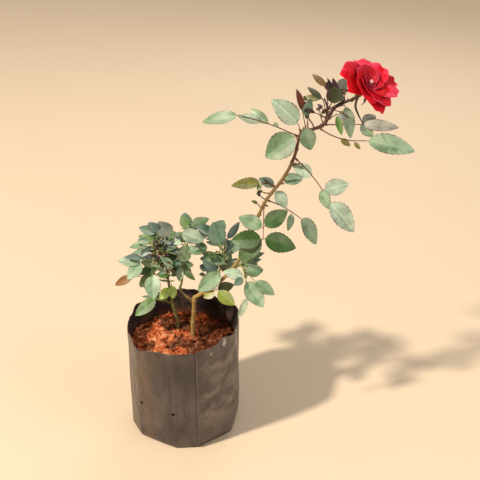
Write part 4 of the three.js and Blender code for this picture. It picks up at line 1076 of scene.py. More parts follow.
def bag_crumple(heading, z, depth):
    """How far the sheet's creases and dents move it in or out, in millimetres."""
    outward = direction(heading, 0)[:2]
    where = Vector((*DENTS_ROUND * outward, z / DENT_HEIGHT))
    dents = noise.noise(where) * 1.1 + noise.noise(where * 2.3 + Vector((5, 1, 2))) * 0.6
    line = 1 - abs(noise.noise(Vector((*CREASES_ROUND * outward, z / CREASE_HEIGHT)))) * 4
    crease = max(0, line) ** 3 * 0.7
    slack = 0.5 + 0.9 * min(1, z / BAG_HEIGHT) ** 2
    lap = apart(heading, BAG_LAP)
    step = LAP_STEP * (1 + lap / BAG_LAP_WIDTH) if -BAG_LAP_WIDTH < lap <= 0 else 0
    step += LAP_BEAD * math.exp(-((lap + 0.6) / 1.1) ** 2)
    foot = min(1, z / 10)
    return depth * foot * slack * (dents - 0.55 * crease - 0.5) + step * foot


def build_bag(settings):
    """The sheet of the bag: outer wall, rim, inner wall and floor, with drain holes."""
    columns = np.linspace(-180, 180, BAG_COLUMNS, endpoint=False)
    depth = settings.crumple / MM / 1.6

    def ring(z_of, inset):
        points = []
        for heading in columns:
            z = z_of(heading)
            radius = bag_radius(heading, z) + bag_crumple(heading, z, depth) - inset
            points.append(radius * direction(heading, 0) + UP * z)
        return np.array(points)

    def rim(heading):
        ragged = noise.noise(Vector((*9 * direction(heading, 0)[:2], 4))) * RIM_RAGGED
        return rim_height(heading) + ragged - RIM_DROP

    shares = np.linspace(0, 1, BAG_ROWS + 1)
    sheet = settings.sheet / MM
    outer = [ring(lambda h, s=s: rim(h) * s, 0) for s in shares]
    lip = [ring(lambda h: rim(h) + LIP_RISE, 0.5 * sheet)]
    inner = [ring(lambda h, s=s: max(rim(h) * s, BAG_INNER_FLOOR), sheet) for s in shares[::-1]]
    rings = [outer[0] * [0.5, 0.5, 1], *outer, *lip, *inner, inner[-1] * [0.5, 0.5, 1]]
    points = np.vstack([*rings, [[0, 0, 0], [0, 0, BAG_INNER_FLOOR]]])
    faces = skin(len(rings), BAG_COLUMNS)
    kinds = [int(row > len(outer) + 1) for row in range(len(rings) - 1)] + [0, 1]
    shape = Shape()
    shape.add(points, faces, list(np.repeat(kinds, BAG_COLUMNS)))
    finishes = [bag_finish(settings.colour, settings.dust), bag_inside_finish(settings.inside)]
    cutters = Shape()
    for heading, z in BAG_HOLES:
        outward = direction(heading, 0)
        middle = outward * bag_radius(heading, z) + UP * z
        cutters.add(*tube([middle - outward * 5, middle + outward * 5], settings.hole / MM, 14), 0)
    bag = shown("grow_bag_sheet", shape.mesh("grow_bag_sheet", finishes))
    cutter = shown("drain_holes", cutters.mesh("drain_holes", finishes[1:]))
    cut = bag.modifiers.new("holes", "BOOLEAN")
    cut.operation, cut.object, cut.solver = "DIFFERENCE", cutter, "EXACT"
    holed = plain_mesh(bag, "grow_bag_sheet")
    for made in (bag, cutter):
        bpy.data.objects.remove(made)
    if len(holed.polygons) < len(faces) / 2:
        raise RuntimeError("the bag lost its wall while its holes were cut")
    piece("grow_bag_sheet", holed, "bag", "grow_bag")


def soil_height(x, y):
    """The height of the soil's crumbly top over a place."""
    here = Vector((x / 24, y / 24, 0.3))
    level = noise.noise(here) * 5.5 + noise.noise(here * 2.7) * 3.4 + noise.noise(here * 7) * 2
    away = math.hypot(x, y)
    slope = 2.5 * math.exp(-((away / 42) ** 2)) - 3.2 * (away / BAG_RADIUS) ** 6
    return SOIL_TOP + 1.2 + 0.75 * level + slope


def build_soil(settings):
    """The soil: a roughened top over a closed body, with lumps of three sizes on it."""

    def ring(share, z=None):
        points = []
        for heading in np.linspace(-180, 180, SOIL_COLUMNS, endpoint=False):
            radius = (bag_radius(heading, z or SOIL_TOP) - SOIL_INSET) * share
            x, y, _ = radius * direction(heading, 0)
            points.append((x, y, soil_height(x, y) if z is None else z))
        return np.array(points)

    tops = [ring(share) for share in np.linspace(1, 0, SOIL_RINGS, endpoint=False)]
    rings = [*(ring(1, z) for z in SOIL_LEVELS), *tops]
    centre = [[0, 0, soil_height(0, 0)]]
    body = Shape()
    body.add(np.vstack([*rings, [[0, 0, SOIL_FOOT]], centre]), skin(len(rings), SOIL_COLUMNS), 0)
    ground = soil_finish("soil_ground", settings.colour, settings.light)
    piece("soil_body", body.mesh("soil_body", [ground]), "soil", "soil")
    crumbs = soil_finish("soil_lumps", shade(settings.colour, 1.1), settings.light)
    for name, radius, fineness, spacing, seed in SOIL_LUMPS:
        top = Shape()
        top.add(np.vstack([*tops[2:], centre]), bands(len(tops) - 2, SOIL_COLUMNS), 0)
        mesh = grow(name, top.mesh(name, []), clod_tree(), {
            "Spacing": spacing * MM, "Density": LUMP_DENSITY, "Seed": seed,
            "Radius": radius * settings.lumps * MM, "Fineness": fineness, "Finish": crumbs})
        piece(name, mesh, "soil")


# Canes


def girths(name, shares):
    """A limb's radius along its course, swollen at its nodes and at its foot."""
    plan, length = LIMBS[name], limb_courses()[name].length
    radii = plan["foot"] + (plan["tip"] - plan["foot"]) * shares
    for place in np.arange(NODE_START, length, NODE_SPACING):
        radii = radii + NODE_SWELLING * np.exp(-((shares * length - place) / NODE_REACH) ** 2)
    if name == "flower_stalk":
        radii = radii + STALK_SWELLING * np.sin(np.pi * shares)
    joint = FORK_SWELLING if "on" in plan else GROUND_SWELLING
    return radii + joint * np.exp(-((shares * length) / FOOT_REACH) ** 2)


def build_canes(settings):
    """Every cane and bough, swept along its course with the relief of its bark."""
    for name, plan in LIMBS.items():
        course = limb_courses()[name]
        shares = np.linspace(0, 1, max(8, round(course.length / 0.9)))
        points = course.at(shares)
        line = bpy.data.meshes.new(name)
        steps = [(i, i + 1) for i in range(len(points) - 1)]
        line.from_pydata((points * MM).tolist(), steps, [])
        line.attributes.new("girth", "FLOAT", "POINT").data.foreach_set(
            "value", (girths(name, shares) * MM).astype(np.float32))
        low, high = (linear(BARKS[bark]) for bark in LIMB_BARKS[name])
        material = bark_finish("bark_" + name, low, high, points[0][2], points[-1][2])
        mesh = grow(name + "_bark", line, cane_tree(), {
            "Sides": settings.sides, "Relief": settings.relief, "Grain": 520.0, "Finish": material})
        piece(name + "_bark", mesh, plan["bark"] + "_bark", name)


def any_of(choices, wander):
    """One of the choices, by the next number of a series."""
    return choices[int(abs(next(wander)) * 997) % len(choices)]


def in_tint(tint, kinds):
    """The numbers of a tint's finishes for faces of the given kinds."""
    first = 3 * list(TINTS).index(tint)
    return [first + kind for kind in kinds]


def small_leaves(shape, tip, heading, rise, count, length, wander):
    """A tuft of small leaves at a shoot's tip."""
    table, edge, faces, kinds = leaf_pattern(SHOOT_TEETH)
    for i in range(count):
        turn = 95 * (i - (count - 1) / 2) / count + 25 * next(wander)
        along = direction(heading + turn, min(80, rise + 25 * next(wander)))
        normal = unit(UP + direction(-90, 20) * 0.6 + along * 0.2)
        size = length * (1 + 0.25 * next(wander))
        points = leaflet_points(table, size, SHOOT_BLADE_BREADTH, SHOOT_BLADE_FOLD,
                                SHOOT_BLADE_CURL, 0.3 * next(wander), (0, 0, 0, 0))
        tint = any_of(SHOOT_TINTS, wander)
        shape.add(placed(points, along, normal, tip - along * BLADE_STALK), faces,
                  in_tint(tint, kinds), table[:, :2], edge)


def build_shoots(settings):
    """Stubs and side shoots with small leaves on the canes, and dry twigs in the masses' hearts."""
    wood, leaves, wander = Shape(), Shape(), series(61)
    for limb, at, heading, rise, length, radius, count, leaf in SHOOTS:
        start = limb_courses()[limb].at(at)
        rest = (length / 3, heading + 35 * next(wander), rise + 20 * next(wander))
        course = course_from(
            start, [(length / 3, heading, rise), rest, (length / 3, heading, rise + 20)])
        shares = np.linspace(0, 1, 12)
        taper = 1 - 0.45 * shares + 0.5 * np.exp(-(shares * length / 1.5) ** 2)
        node = 0.3 * np.exp(-((shares - 0.62) / 0.08) ** 2)
        radii = settings.shoot_girth * radius * taper + node
        wood.add(*tube(course.at(shares), radii, 7), 0)
        small_leaves(leaves, course.at(0.97), heading, rise, count, leaf, wander)
    for mass, count, low, high, length, radius, heading, leaf in DRY_TWIGS:
        plan = MASSES[mass]
        stem = course_from(limb_courses()[plan["on"]].at(plan["at"]), plan["stem"])
        for i in range(count):
            start = stem.at(low + (high - low) * i / count)
            away, climb = heading + 85 * next(wander), 25 + 50 * next(wander)
            reach = length * (0.8 + 0.4 * next(wander))
            bent = (reach / 2, away + 60 * next(wander), climb + 40 * next(wander))
            course = course_from(start, [(reach / 2, away, climb), bent])
            shares = np.linspace(0, 1, 7)
            wood.add(*tube(course.at(shares), radius * (1 - 0.5 * shares), 5), 1 + (i % 3 > 0))
            small_leaves(leaves, course.at(0.98), away, climb, 1 + i % 2, leaf, wander)
    barks = [skin_finish(name) for name in ("bark_shoots", "bark_dry", "bark_dead")]
    piece("side_shoots", wood.mesh("side_shoots", barks), "russet_bark")
    mesh = tinted_mesh(leaves, "side_shoot_leaves", leaf_finishes())
    piece("side_shoot_leaves", mesh, "young_leaf")


def build_prickles(settings):
    """Hooked prickles over the canes and the flower's stalk."""
    thorn = finish("prickle_horn", lambda tree: {
        "Base Color": tree.mix(tree.grain(700, 2), linear("#7a3a26"), linear("#a8743c")),
        "Roughness": 0.45})
    for number, name in enumerate(PRICKLY):
        start = bpy.data.objects[name + "_bark"].data.copy()
        mesh = grow(name + "_prickles", start, prickle_tree(), {
            "Spacing": settings.spacing, "Density": 16000.0, "Seed": 3 + number,
            "Foot": settings.prickle * 0.34, "Length": settings.prickle, "Hook": 90.0,
            "Finish": thorn})
        piece(name + "_prickles", mesh, LIMBS[name]["bark"] + "_bark")


# Leaves


def leaf_breadth(along):
    """A leaflet's half breadth at a share of its length, as a share of the widest."""
    return np.sin(np.pi * np.clip(along, 0, 1) ** 0.8) ** 0.75


@functools.cache
def leaf_pattern(teeth):
    """One toothed leaflet on its own plane: points as share along, share across, share of the
    thickness and whether on the outline, with faces and their kinds: upper, edge, under."""
    points, at, faces, kinds = [], {}, [], []

    def share_of(k):
        return 0.6 * k / teeth + 0.2 * (1 - math.cos(math.pi * k / teeth))

    def point(kind, k, side, layer):
        if kind != "tooth" and k in (0, teeth):
            kind, side = "midrib", 0
        key = (kind, k, side if kind != "midrib" else 0, layer)
        if key not in at:
            along = share_of(k)
            if kind == "tooth":
                along += 0.78 * (share_of(k + 1) - along)
            breadth = {"midrib": 0, "inner": 0.52, "notch": 0.97, "tooth": 1.01}[kind]
            across = side * (breadth * leaf_breadth(along) + (0.012 if kind == "tooth" else 0))
            outline = kind in ("notch", "tooth") or k in (0, teeth)
            depth = layer * (0.45 if outline else 1)
            at[key] = len(points)
            points.append((along, across, depth, outline))
        return at[key]

    def face(kind, side, *corners):
        ring = list(dict.fromkeys(corners))
        if len(ring) > 2:
            faces.append(tuple(ring if side > 0 else ring[::-1]))
            kinds.append(kind)

    for side in (1, -1):
        for k in range(teeth):
            for layer, turn in ((0, side), (1, -side)):
                rib, next_rib = (point("midrib", i, 0, layer) for i in (k, k + 1))
                inner, next_inner = (point("inner", i, side, layer) for i in (k, k + 1))
                notch, next_notch = (point("notch", i, side, layer) for i in (k, k + 1))
                tooth = point("tooth", k, side, layer)
                face(2 * layer, turn, rib, next_rib, next_inner, inner)
                if layer:
                    face(2, turn, inner, next_inner, next_notch, tooth, notch)
                else:
                    face(0, turn, inner, next_inner, next_notch, notch)
                    face(1, turn, notch, next_notch, tooth)
            ends = [[point(kind, i, side, layer) for layer in (0, 1)]
                    for kind, i in (("notch", k), ("tooth", k), ("notch", k + 1))]
            for (a, under_a), (b, under_b) in zip(ends, ends[1:]):
                face(1, -side, a, b, under_b, under_a)
    table = np.array([p[:3] for p in points])
    return table, np.array([p[3] for p in points]), faces, kinds


def leaflet_points(pattern, length, breadth, fold, curl, twist, ripple):
    """A leaflet's points with its foot at the origin, pointing along +X with its face up."""
    along, across, depth = pattern.T
    half = length * breadth / 2
    x = BLADE_STALK + along * (length - BLADE_STALK)
    y = across * half
    z = np.abs(y) * math.tan(math.radians(fold)) * (1 - 0.25 * np.abs(across))
    z += ripple[0] * half * across ** 2 * np.sin(9 * along + ripple[1])
    z += ripple[2] * half * across * np.sin(5 * along + ripple[3])
    z -= curl * length * along ** 2
    z -= depth * BLADE_THICKNESS
    angle = twist * along
    return np.stack([x, y * np.cos(angle) - z * np.sin(angle) * 0.5,
                     z * np.cos(angle) + y * np.sin(angle)], axis=1)


def placed(points, along, normal, origin):
    """Points turned so that X runs along and Z looks as near as it can to the normal."""
    across = unit(np.cross(normal, along))
    over = np.cross(along, across)
    return points[:, :1] * along + points[:, 1:2] * across + points[:, 2:] * over + origin


def plane_of(heading, rise):
    """A plane's normal and its level and upslope directions for one who looks at it."""
    normal = direction(heading, rise)
    right = unit(np.cross(UP, normal))
    return normal, right, np.cross(normal, right)


def in_picture(points):
    """Where points land in the camera's picture, in pixels across and down."""
    dip = math.radians(CAMERA_DIP)
    away = points - np.array(CAMERA_PLACE) / MM
    depth = away[:, 1] * math.cos(dip) - away[:, 2] * math.sin(dip)
    rise = away[:, 1] * math.sin(dip) + away[:, 2] * math.cos(dip)
    scale = PICTURE * CAMERA_LENS / CAMERA_SENSOR / depth
    return PICTURE / 2 + scale * away[:, 0], PICTURE / 2 - scale * rise


def clear_of_sky(points):
    """Whether points leave open the gaps between the masses."""
    across, down = in_picture(points)
    return not any(
        ((across > left) & (across < right) & (down > top) & (down < bottom)).any()
        for left, top, right, bottom in SKY_GAPS)


class Crowd:
    """What stands already, to keep new leaves from cutting through it."""

    def __init__(self):
        self.lows, self.highs, self.trees = [], [], []

    def add(self, points, faces):
        """Adds a part to what stands."""
        self.lows.append(points.min(axis=0))
        self.highs.append(points.max(axis=0))
        self.trees.append(BVHTree.FromPolygons(points.tolist(), faces))

    def touches(self, points, faces):
        """Whether a part would cut through anything that stands."""
        if not self.trees:
            return False
        low, high = points.min(axis=0), points.max(axis=0)
        near = np.flatnonzero(
            (np.array(self.lows) <= high).all(axis=1) & (np.array(self.highs) >= low).all(axis=1))
        if not len(near):
            return False
        tree = BVHTree.FromPolygons(points.tolist(), faces)
        return any(self.trees[i].overlap(tree) for i in near)


def rough_pattern():
    """A leaflet's outline with few points, for the tests of what it touches."""
    table = np.array([(0.03, 0, 0), (0.4, 0.9, 0), (0.75, 0.7, 0), (1, 0, 0), (0.75, -0.7, 0),
                      (0.4, -0.9, 0), (0.4, 0, 0), (0.75, 0, 0)])
    return table, [(0, 6, 1), (0, 5, 6), (6, 7, 2, 1), (5, 4, 7, 6), (7, 3, 2), (4, 3, 7)]


def outward_plane(heading, climb):
    """The face and the aim of a compound leaf that grows out on a heading, up or down."""
    if climb >= 0:
        return (heading + 180, 90 - climb), 90
    return (heading, 90 + climb), -90


def fill_sprays(count, first, turn, rise, reach, blade, wander):
    """Compound leaves that turn outward round a stem by a fixed angle, as in the part's source."""
    for i in range(count):
        heading = first + turn * i + 12 * next(wander)
        face, aim = outward_plane(heading, rise + 18 * next(wander))
        size = blade * (1 + 0.15 * next(wander))
        share, angle, scale = FILL_PAIR
        blades = [(1, aim, size)]
        blades += [(share, aim + side * angle + 6 * next(wander), size * scale) for side in (1, -1)]
        yield dict(at=0.25 + 0.72 * i / max(1, count - 1), face=face, aim=aim,
                   reach=reach * (1 + 0.2 * next(wander)), sag=8, blades=blades,
                   tint=FILL_TINTS[i % len(FILL_TINTS)])


def finer_sprays(plan, size, wander):
    """More compound leaves round a mass's stem, finer than the source's."""
    count = plan["finer"]
    for i in range(count):
        heading = FINER_TURN * i + 25 * next(wander)
        face, aim = outward_plane(heading, FINER_RISE + 30 * next(wander))
        blade = size * (1 + 0.3 * next(wander))
        blades = [(1, aim, blade)]
        for share, angle, scale in FINER_PAIRS:
            blades += [(share, aim + side * angle + 8 * next(wander), blade * scale)
                       for side in (1, -1)]
        yield dict(at=0.1 + 0.88 * i / max(1, count - 1), aim=aim, face=face,
                   reach=blade * (1.05 + 0.25 * next(wander)), sag=10, blades=blades,
                   tint=any_of(FILL_TINTS, wander))


def rachis_course(start, spray, normal, right, upslope):
    """The curve of a compound leaf's rachis."""
    points = [start]
    steps = 3 if spray["reach"] > LONG_STALK else 1
    for i in range(steps):
        share = (i + 0.5) / steps
        bearing = math.radians(spray["aim"] + spray.get("bend", 0) * share)
        step = math.cos(bearing) * right + math.sin(bearing) * upslope
        step = step + normal * math.tan(math.radians(spray.get("out", 0)))
        step = step - UP * math.tan(math.radians(spray.get("sag", 0))) * share
        points.append(points[-1] + unit(step) * spray["reach"] / steps)
    return Course(points)


class Foliage:
    """Grows the masses: the listed and filled sprays of the source first, then the finer ones."""

    def __init__(self, settings):
        self.settings = settings
        self.crowd = Crowd()
        self.leaves = {name: Shape() for name in MASSES}
        self.twigs = {name: Shape() for name in MASSES}
        for name, plan in LIMBS.items():
            shares = np.linspace(0, 1, 14)
            radii = plan["foot"] + (plan["tip"] - plan["foot"]) * shares
            self.crowd.add(*tube(limb_courses()[name].at(shares), radii, 6))
        self.stems = {}
        for name, plan in MASSES.items():
            start = limb_courses()[plan["on"]].at(plan["at"])
            if "stem" in plan:
                stem = course_from(start, plan["stem"])
                self.stems[name] = stem
                shares = np.linspace(0, 1, 26)
                radii = plan["stem_radius"] * (1 - 0.35 * shares)
                radii = radii + 0.22 * np.exp(-(((shares * stem.length) % 11 - 5) / 1.4) ** 2)
                points, faces = tube(stem.at(shares), radii, 8)
                self.twigs[name].add(points, faces, 0)
                self.crowd.add(points, faces)

    def blade(self, name, spray, frame_of, foot, blade, wander, listed, limits):
        """Places one leaflet, leaning off its plane where it would touch another."""
        normal, right, upslope = frame_of
        _, bearing, length, *rest = blade
        breadth = rest[0] if rest else BLADE_BREADTH
        tint = rest[1] if len(rest) > 1 else spray["tint"]
        tilt = (BLADE_TILT * next(wander), BLADE_TILT * next(wander))
        fold = BLADE_FOLD * (1 + 0.5 * next(wander))
        curl = BLADE_CURL * (1 + next(wander))
        look = normal + right * tilt[0] + upslope * tilt[1]
        turn = math.radians(bearing)
        level = math.cos(turn) * right + math.sin(turn) * upslope
        own = series(int(1000 * abs(foot).sum()) + round(bearing) % 97)
        ripple = [size * next(own) for size in (BLADE_RIPPLE, 3, BLADE_RIPPLE, 3)]
        roll = BLADE_ROLL * next(own)
        rough, rough_faces = rough_pattern()

        def laid(pattern, along):
            """The leaflet's points in their place."""
            flat = leaflet_points(pattern, length, breadth, fold, curl, roll, ripple)
            return placed(flat, along, look, foot)

        chosen = None
        for lean in (*rest[2:], *BLADE_LEANS):
            along = unit(level + normal * math.tan(math.radians(lean)))
            outline = laid(rough, along)
            if limits is not None and not limits(outline):
                continue
            if not self.crowd.touches(outline, rough_faces):
                chosen = (along, outline)
                break
            if listed and chosen is None:
                chosen = (along, outline)
        if chosen is None:
            return False
        along, outline = chosen
        self.crowd.add(outline, rough_faces)
        table, edge, faces, kinds = leaf_pattern(LISTED_TEETH if listed else FILL_TEETH)
        points = laid(table, along)
        self.leaves[name].add(points, faces, in_tint(tint, kinds), table[:, :2], edge)
        base = placed(np.array([[BLADE_STALK + 1.5, 0, -0.12]]), along, look, foot)[0]
        radius = LEAFLET_STALK * min(1.2, max(0.75, length / 30))
        stalk = tube([foot, (foot + base) / 2, base], [radius, radius * 0.9, 0.25], 5)
        self.twigs[name].add(*stalk, 1)
        return True

    def spray(self, name, spray, wander, listed, limits=None):
        """Grows one compound leaf from its stem or limb."""
        plan = MASSES[name]
        stem = self.stems.get(name)
        start = stem.at(spray["at"]) if stem else limb_courses()[plan["on"]].at(plan["at"])
        plane = plane_of(*(angle + FACE_WANDER * next(wander) for angle in spray["face"]))
        rachis = rachis_course(start, spray, *plane)
        shares = np.linspace(0, 1, 9 if spray["reach"] > LONG_STALK else 5)
        points = rachis.at(shares)
        swell = 0.5 * np.exp(-((shares * rachis.length) / 2.2) ** 2)
        size = 1 if listed else 0.85
        radii = size * (RACHIS_FOOT + (RACHIS_TIP - RACHIS_FOOT) * shares + swell)
        away = rachis.at(np.linspace(min(0.9, 4 / spray["reach"]), 1, 5))
        clear, clear_faces = tube(away, RACHIS_TIP, 3)
        if not listed and (self.crowd.touches(clear, clear_faces)
                           or (limits is not None and not limits(clear))):
            return
        kept = 0
        for blade in spray["blades"]:
            foot = rachis.at(blade[0])
            kept += self.blade(name, spray, plane, foot, blade, wander, listed, limits)
        if not kept:
            return
        self.crowd.add(clear, clear_faces)
        self.twigs[name].add(*tube(points, radii, 6), 1)
        self.stipules(name, rachis, plane, size)

    def stipules(self, name, rachis, plane, size):
        """The two small wings at a compound leaf's foot."""
        along = rachis.heading_at(0.05)
        across = unit(np.cross(plane[0], along))
        foot = rachis.at(min(0.4, 2.2 / rachis.length))
        for side in (1, -1):
            tip = foot + size * (along * 4.6 + across * side * 2.1)
            middle = foot + size * (along * 2.0 + across * side * 1.3)
            over = np.cross(along, across) * 0.22
            points = np.array([foot, middle, tip, foot + along * 1.2, foot - over, middle - over,
                               tip - over * 0.4, foot + along * 1.2 - over])
            faces = [face[::side] for face in STIPULE_FACES]
            self.twigs[name].add(points, faces, 1)

    def limits_of(self, name):
        """The test that a finer leaf keeps within its mass's reach and behind the listed ones."""
        low, high = (np.array(corner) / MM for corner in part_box(name))
        front = self.stems[name].at(0.5)[1] - FINER_FRONT

        def inside(points):
            return ((points > low - FINER_REACH).all() and (points < high + FINER_REACH).all()
                    and points[:, 1].mean() > front and clear_of_sky(points))
        return inside

    def grow(self):
        """Grows every mass and makes its pieces."""
        for name, plan in MASSES.items():
            wander = series(plan["fill"]["seed"] if "fill" in plan else 1)
            rule = {k: v for k, v in plan.get("fill", {}).items() if k != "seed"}
            filled = list(fill_sprays(wander=wander, **rule)) if rule else []
            for number, spray in enumerate([*plan["sprays"], *filled]):
                listed = number < len(plan["sprays"])
                self.spray(name, spray, wander, listed, None if listed else clear_of_sky)
        for number, (name, plan) in enumerate(MASSES.items()):
            if "finer" in plan:
                wander = series(101 + number)
                for spray in finer_sprays(plan, self.settings.finer_size / MM, wander):
                    self.spray(name, spray, wander, False, self.limits_of(name))


def leaf_finishes():
    """Upper side, edge and underside of every tint, in that order."""
    made = []
    for name, (upper, edge, under) in TINTS.items():
        made.append(leaf_finish("leaf_" + name, linear(upper), linear(edge), LEAF_ROUGHNESS))
        made.append(plain_leaf_finish("leaf_edge_" + name, linear(edge)))
        made.append(plain_leaf_finish("leaf_under_" + name, linear(under)))
    return made


def tinted_mesh(shape, name, finishes):
    """A shape's mesh in the leaf finishes, with only those that it uses."""
    mesh = shape.mesh(name, finishes)
    used = np.zeros(len(mesh.polygons), np.int32)
    mesh.polygons.foreach_get("material_index", used)
    kept = np.unique(used)
    mesh.materials.clear()
    for i in kept:
        mesh.materials.append(finishes[i])
    mesh.polygons.foreach_set("material_index", np.searchsorted(kept, used).astype(np.int32))
    return mesh


def build_foliage(settings):
    """Leaves and twigs of every mass, each kind joined apart."""
    foliage = Foliage(settings)
    foliage.grow()
    leaves = leaf_finishes()
    stem_bark, low_twig, high_twig, young_bark = (
        skin_finish(name) for name in ("bark_stem", "twig_green", "twig_red", "bark_young"))
    for name, plan in MASSES.items():
        young = plan.get("young", False)
        slot = "young_leaf" if young else "leaf"
        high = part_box(name)[0][2] / MM > HIGH_TWIGS
        barks = [young_bark if young else stem_bark, high_twig if high else low_twig]
        mesh = tinted_mesh(foliage.leaves[name], name + "_leaves", leaves)
        piece(name + "_leaves", mesh, slot, name)
        piece(name + "_twigs", foliage.twigs[name].mesh(name + "_twigs", barks), slot, name)


# Bloom


def sheet(point_at, across, along, thickness):
    """A thin closed sheet over a grid: its points, faces, map and outline."""
    small = 1e-3
    grid = [(2 * i / across - 1, j / along) for i in range(across + 1) for j in range(along + 1)]
    middle, normals = [], []
    for u, v in grid:
        du = point_at(u + small, v) - point_at(u - small, v)
        dv = point_at(u, v + small) - point_at(u, v - small)
        middle.append(point_at(u, v))
        normals.append(unit(np.cross(du, dv)))
    middle, normals = np.array(middle), np.array(normals)
    count = len(grid)

    def at(i, j):
        return i * (along + 1) + j

    faces = []
    for i in range(across):
        for j in range(along):
            a, b, c, d = at(i, j), at(i + 1, j), at(i + 1, j + 1), at(i, j + 1)
            faces += [(a, b, c, d), (a + count, d + count, c + count, b + count)]
    border = [*(at(i, 0) for i in range(across)), *(at(across, j) for j in range(along)),
              *(at(across - i, along) for i in range(across)),
              *(at(0, along - j) for j in range(along))]
    for a, b in zip(border, border[1:] + border[:1]):
        faces.append((a, a + count, b + count, b))
    points = np.vstack([middle + normals * thickness / 2, middle - normals * thickness / 2])
    table = np.array([(v, u) for u, v in grid] * 2)
    edge = np.zeros(2 * count, bool)
    edge[border] = True
    edge[np.array(border) + count] = True
    return points, faces, table, edge


def petal_point(length, width, start, end, turn, wave):
    """A petal that leaves the heart at one angle from the axis and curls over to another."""
    def point_at(u, v):
        leave = math.radians(start + 12)
        radius, height = PETAL_ROOT * math.sin(leave), PETAL_ROOT * math.cos(leave)
        for k in range(PETAL_STEPS):
            share = v * (k + 0.5) / PETAL_STEPS
            curl = PETAL_CURL * wave[0] * max(0, share - PETAL_CURL_FROM) / (1 - PETAL_CURL_FROM)
            lean = math.radians(start + (end - start) * share + PETAL_SKEW * u + curl)
            radius += math.sin(lean) * length * v / PETAL_STEPS
            height += math.cos(lean) * length * v / PETAL_STEPS
        half = width / 2 * math.sin(math.pi * (0.08 + 0.76 * v)) ** 0.8
        half *= 1 + PETAL_WAVE * math.sin(9 * v + wave[1])
        notch = PETAL_NOTCH * length * (1 - math.exp(-(u / 0.3) ** 2)) * max(0, v - 0.8)
        swing = turn + u * half / max(radius, 0.36 * width)
        ruffle = PETAL_RUFFLE * length * v ** 3 * math.sin(5 * u + wave[1])
        radius, height = radius + ruffle * 0.4, height + ruffle - 0.3 * notch
        return np.array([radius * math.cos(swing), radius * math.sin(swing), height])
    return point_at


def bloom_foot():
    """The foot of the petals, over the hip on the stalk's end."""
    stalk = limb_courses()["flower_stalk"]
    return stalk.at(1) + direction(BLOOM_HEADING, BLOOM_RISE) * (HIP_SINK + HIP_LENGTH + 0.3)


def on_bloom(points):
    """Points that stand on the bloom's own upright axis, turned to where it looks."""
    axis = Vector(direction(BLOOM_HEADING, BLOOM_RISE))
    turn = np.array(Vector((0, 0, 1)).rotation_difference(axis).to_matrix())
    return points @ turn.T + bloom_foot()


def petal_rows():
    """Every petal's turn, length, width, start, end and colour, with the heart's finer whorls."""
    wander = series(41)
    rows = [*PETALS, *CUP_PETALS]
    for whorl, (count, length, width, start, end) in enumerate(HEART_WHORLS):
        for i in range(count):
            turn = 360 * (i + 0.37 * whorl) / count + 14 * next(wander)
            size = length * (1 + 0.15 * next(wander))
            rows.append((turn, size, width, start, end + 12 * next(wander), "heart"))
    return [(row, (0.5 + 0.5 * next(wander), 3 * next(wander))) for row in rows]


def build_petals(settings):
    """The petals in whorls round the heart."""
    # Painted light and shade: the lit copy is lighter and more flushed, the heart's copy darker
    colours = {
        "deep": (settings.colour, shade(settings.colour, 1.35), 0.3),
        "lit": (shade(settings.colour, 1.15), settings.rim, 0.55),
        "heart": (shade(settings.colour, 0.8), settings.rim, 0.3)}
    petals = Shape()
    for (turn, length, width, start, end, kind), wave in petal_rows():
        shape = petal_point(length, width, start, end, math.radians(turn), wave)
        cells = (8, 8) if kind == "heart" else (14, 12)
        points, faces, table, edge = sheet(shape, *cells, settings.petal_thickness / MM)
        petals.add(on_bloom(points), faces, list(colours).index(kind), table, edge)
    finishes = [petal_finish("petal_" + kind, *look) for kind, look in colours.items()]
    piece("bloom_petals", petals.mesh("bloom_petals", finishes), "petal", "rose_bloom")


def sepal_point(turn, length):
    """A sepal that bends back under the petals from the hip."""
    def point_at(u, v):
        lean = math.radians(95 + 55 * v)
        radius = HIP_RADIUS * 0.8 + length * math.sin(lean) * v
        height = -HIP_SINK + 0.5 + length * math.cos(lean) * v
        half = SEPAL_BREADTH * max(0, 1 - v) ** 0.7 + 0.25
        swing = turn + u * half / max(radius, 3)
        return np.array([radius * math.cos(swing), radius * math.sin(swing), height])
    return point_at


def build_hip():
    """The hip with its sepals, one of them long and hanging."""
    green = Shape()
    line = np.array([(0, 0, height - HIP_SINK) for height, _ in HIP_PROFILE], float)
    points, faces = tube(line, [share * HIP_RADIUS for _, share in HIP_PROFILE], 16)
    green.add(on_bloom(points), faces, 0)
    for i, length in enumerate(SEPAL_LENGTHS):
        shape = sepal_point(2 * math.pi * (i + 0.35) / len(SEPAL_LENGTHS), length)
        points, faces, table, edge = sheet(shape, 4, 8, SEPAL_THICKNESS)
        green.add(on_bloom(points), faces, 1, table, edge)
    dip = math.radians(CAMERA_DIP)
    up = np.array([0, math.sin(dip), math.cos(dip)])
    toward = np.array([0, -math.cos(dip), math.sin(dip)])
    long_sepal = Course([bloom_foot() + np.array([x, 0, 0]) + y * up + d * toward
                         for x, y, d in LONG_SEPAL])
    shares = np.linspace(0, 1, 18)
    widths = 0.35 + 1.05 * np.sin(np.pi * (0.25 + 0.74 * shares)) ** 1.3
    green.add(*tube(long_sepal.at(shares), widths, 6), 1)
    finishes = [skin_finish("hip_skin"), plain_leaf_finish("sepal_skin", linear("#3c2a1c"))]
    piece("bloom_hip", green.mesh("bloom_hip", finishes), "petal", "rose_bloom")


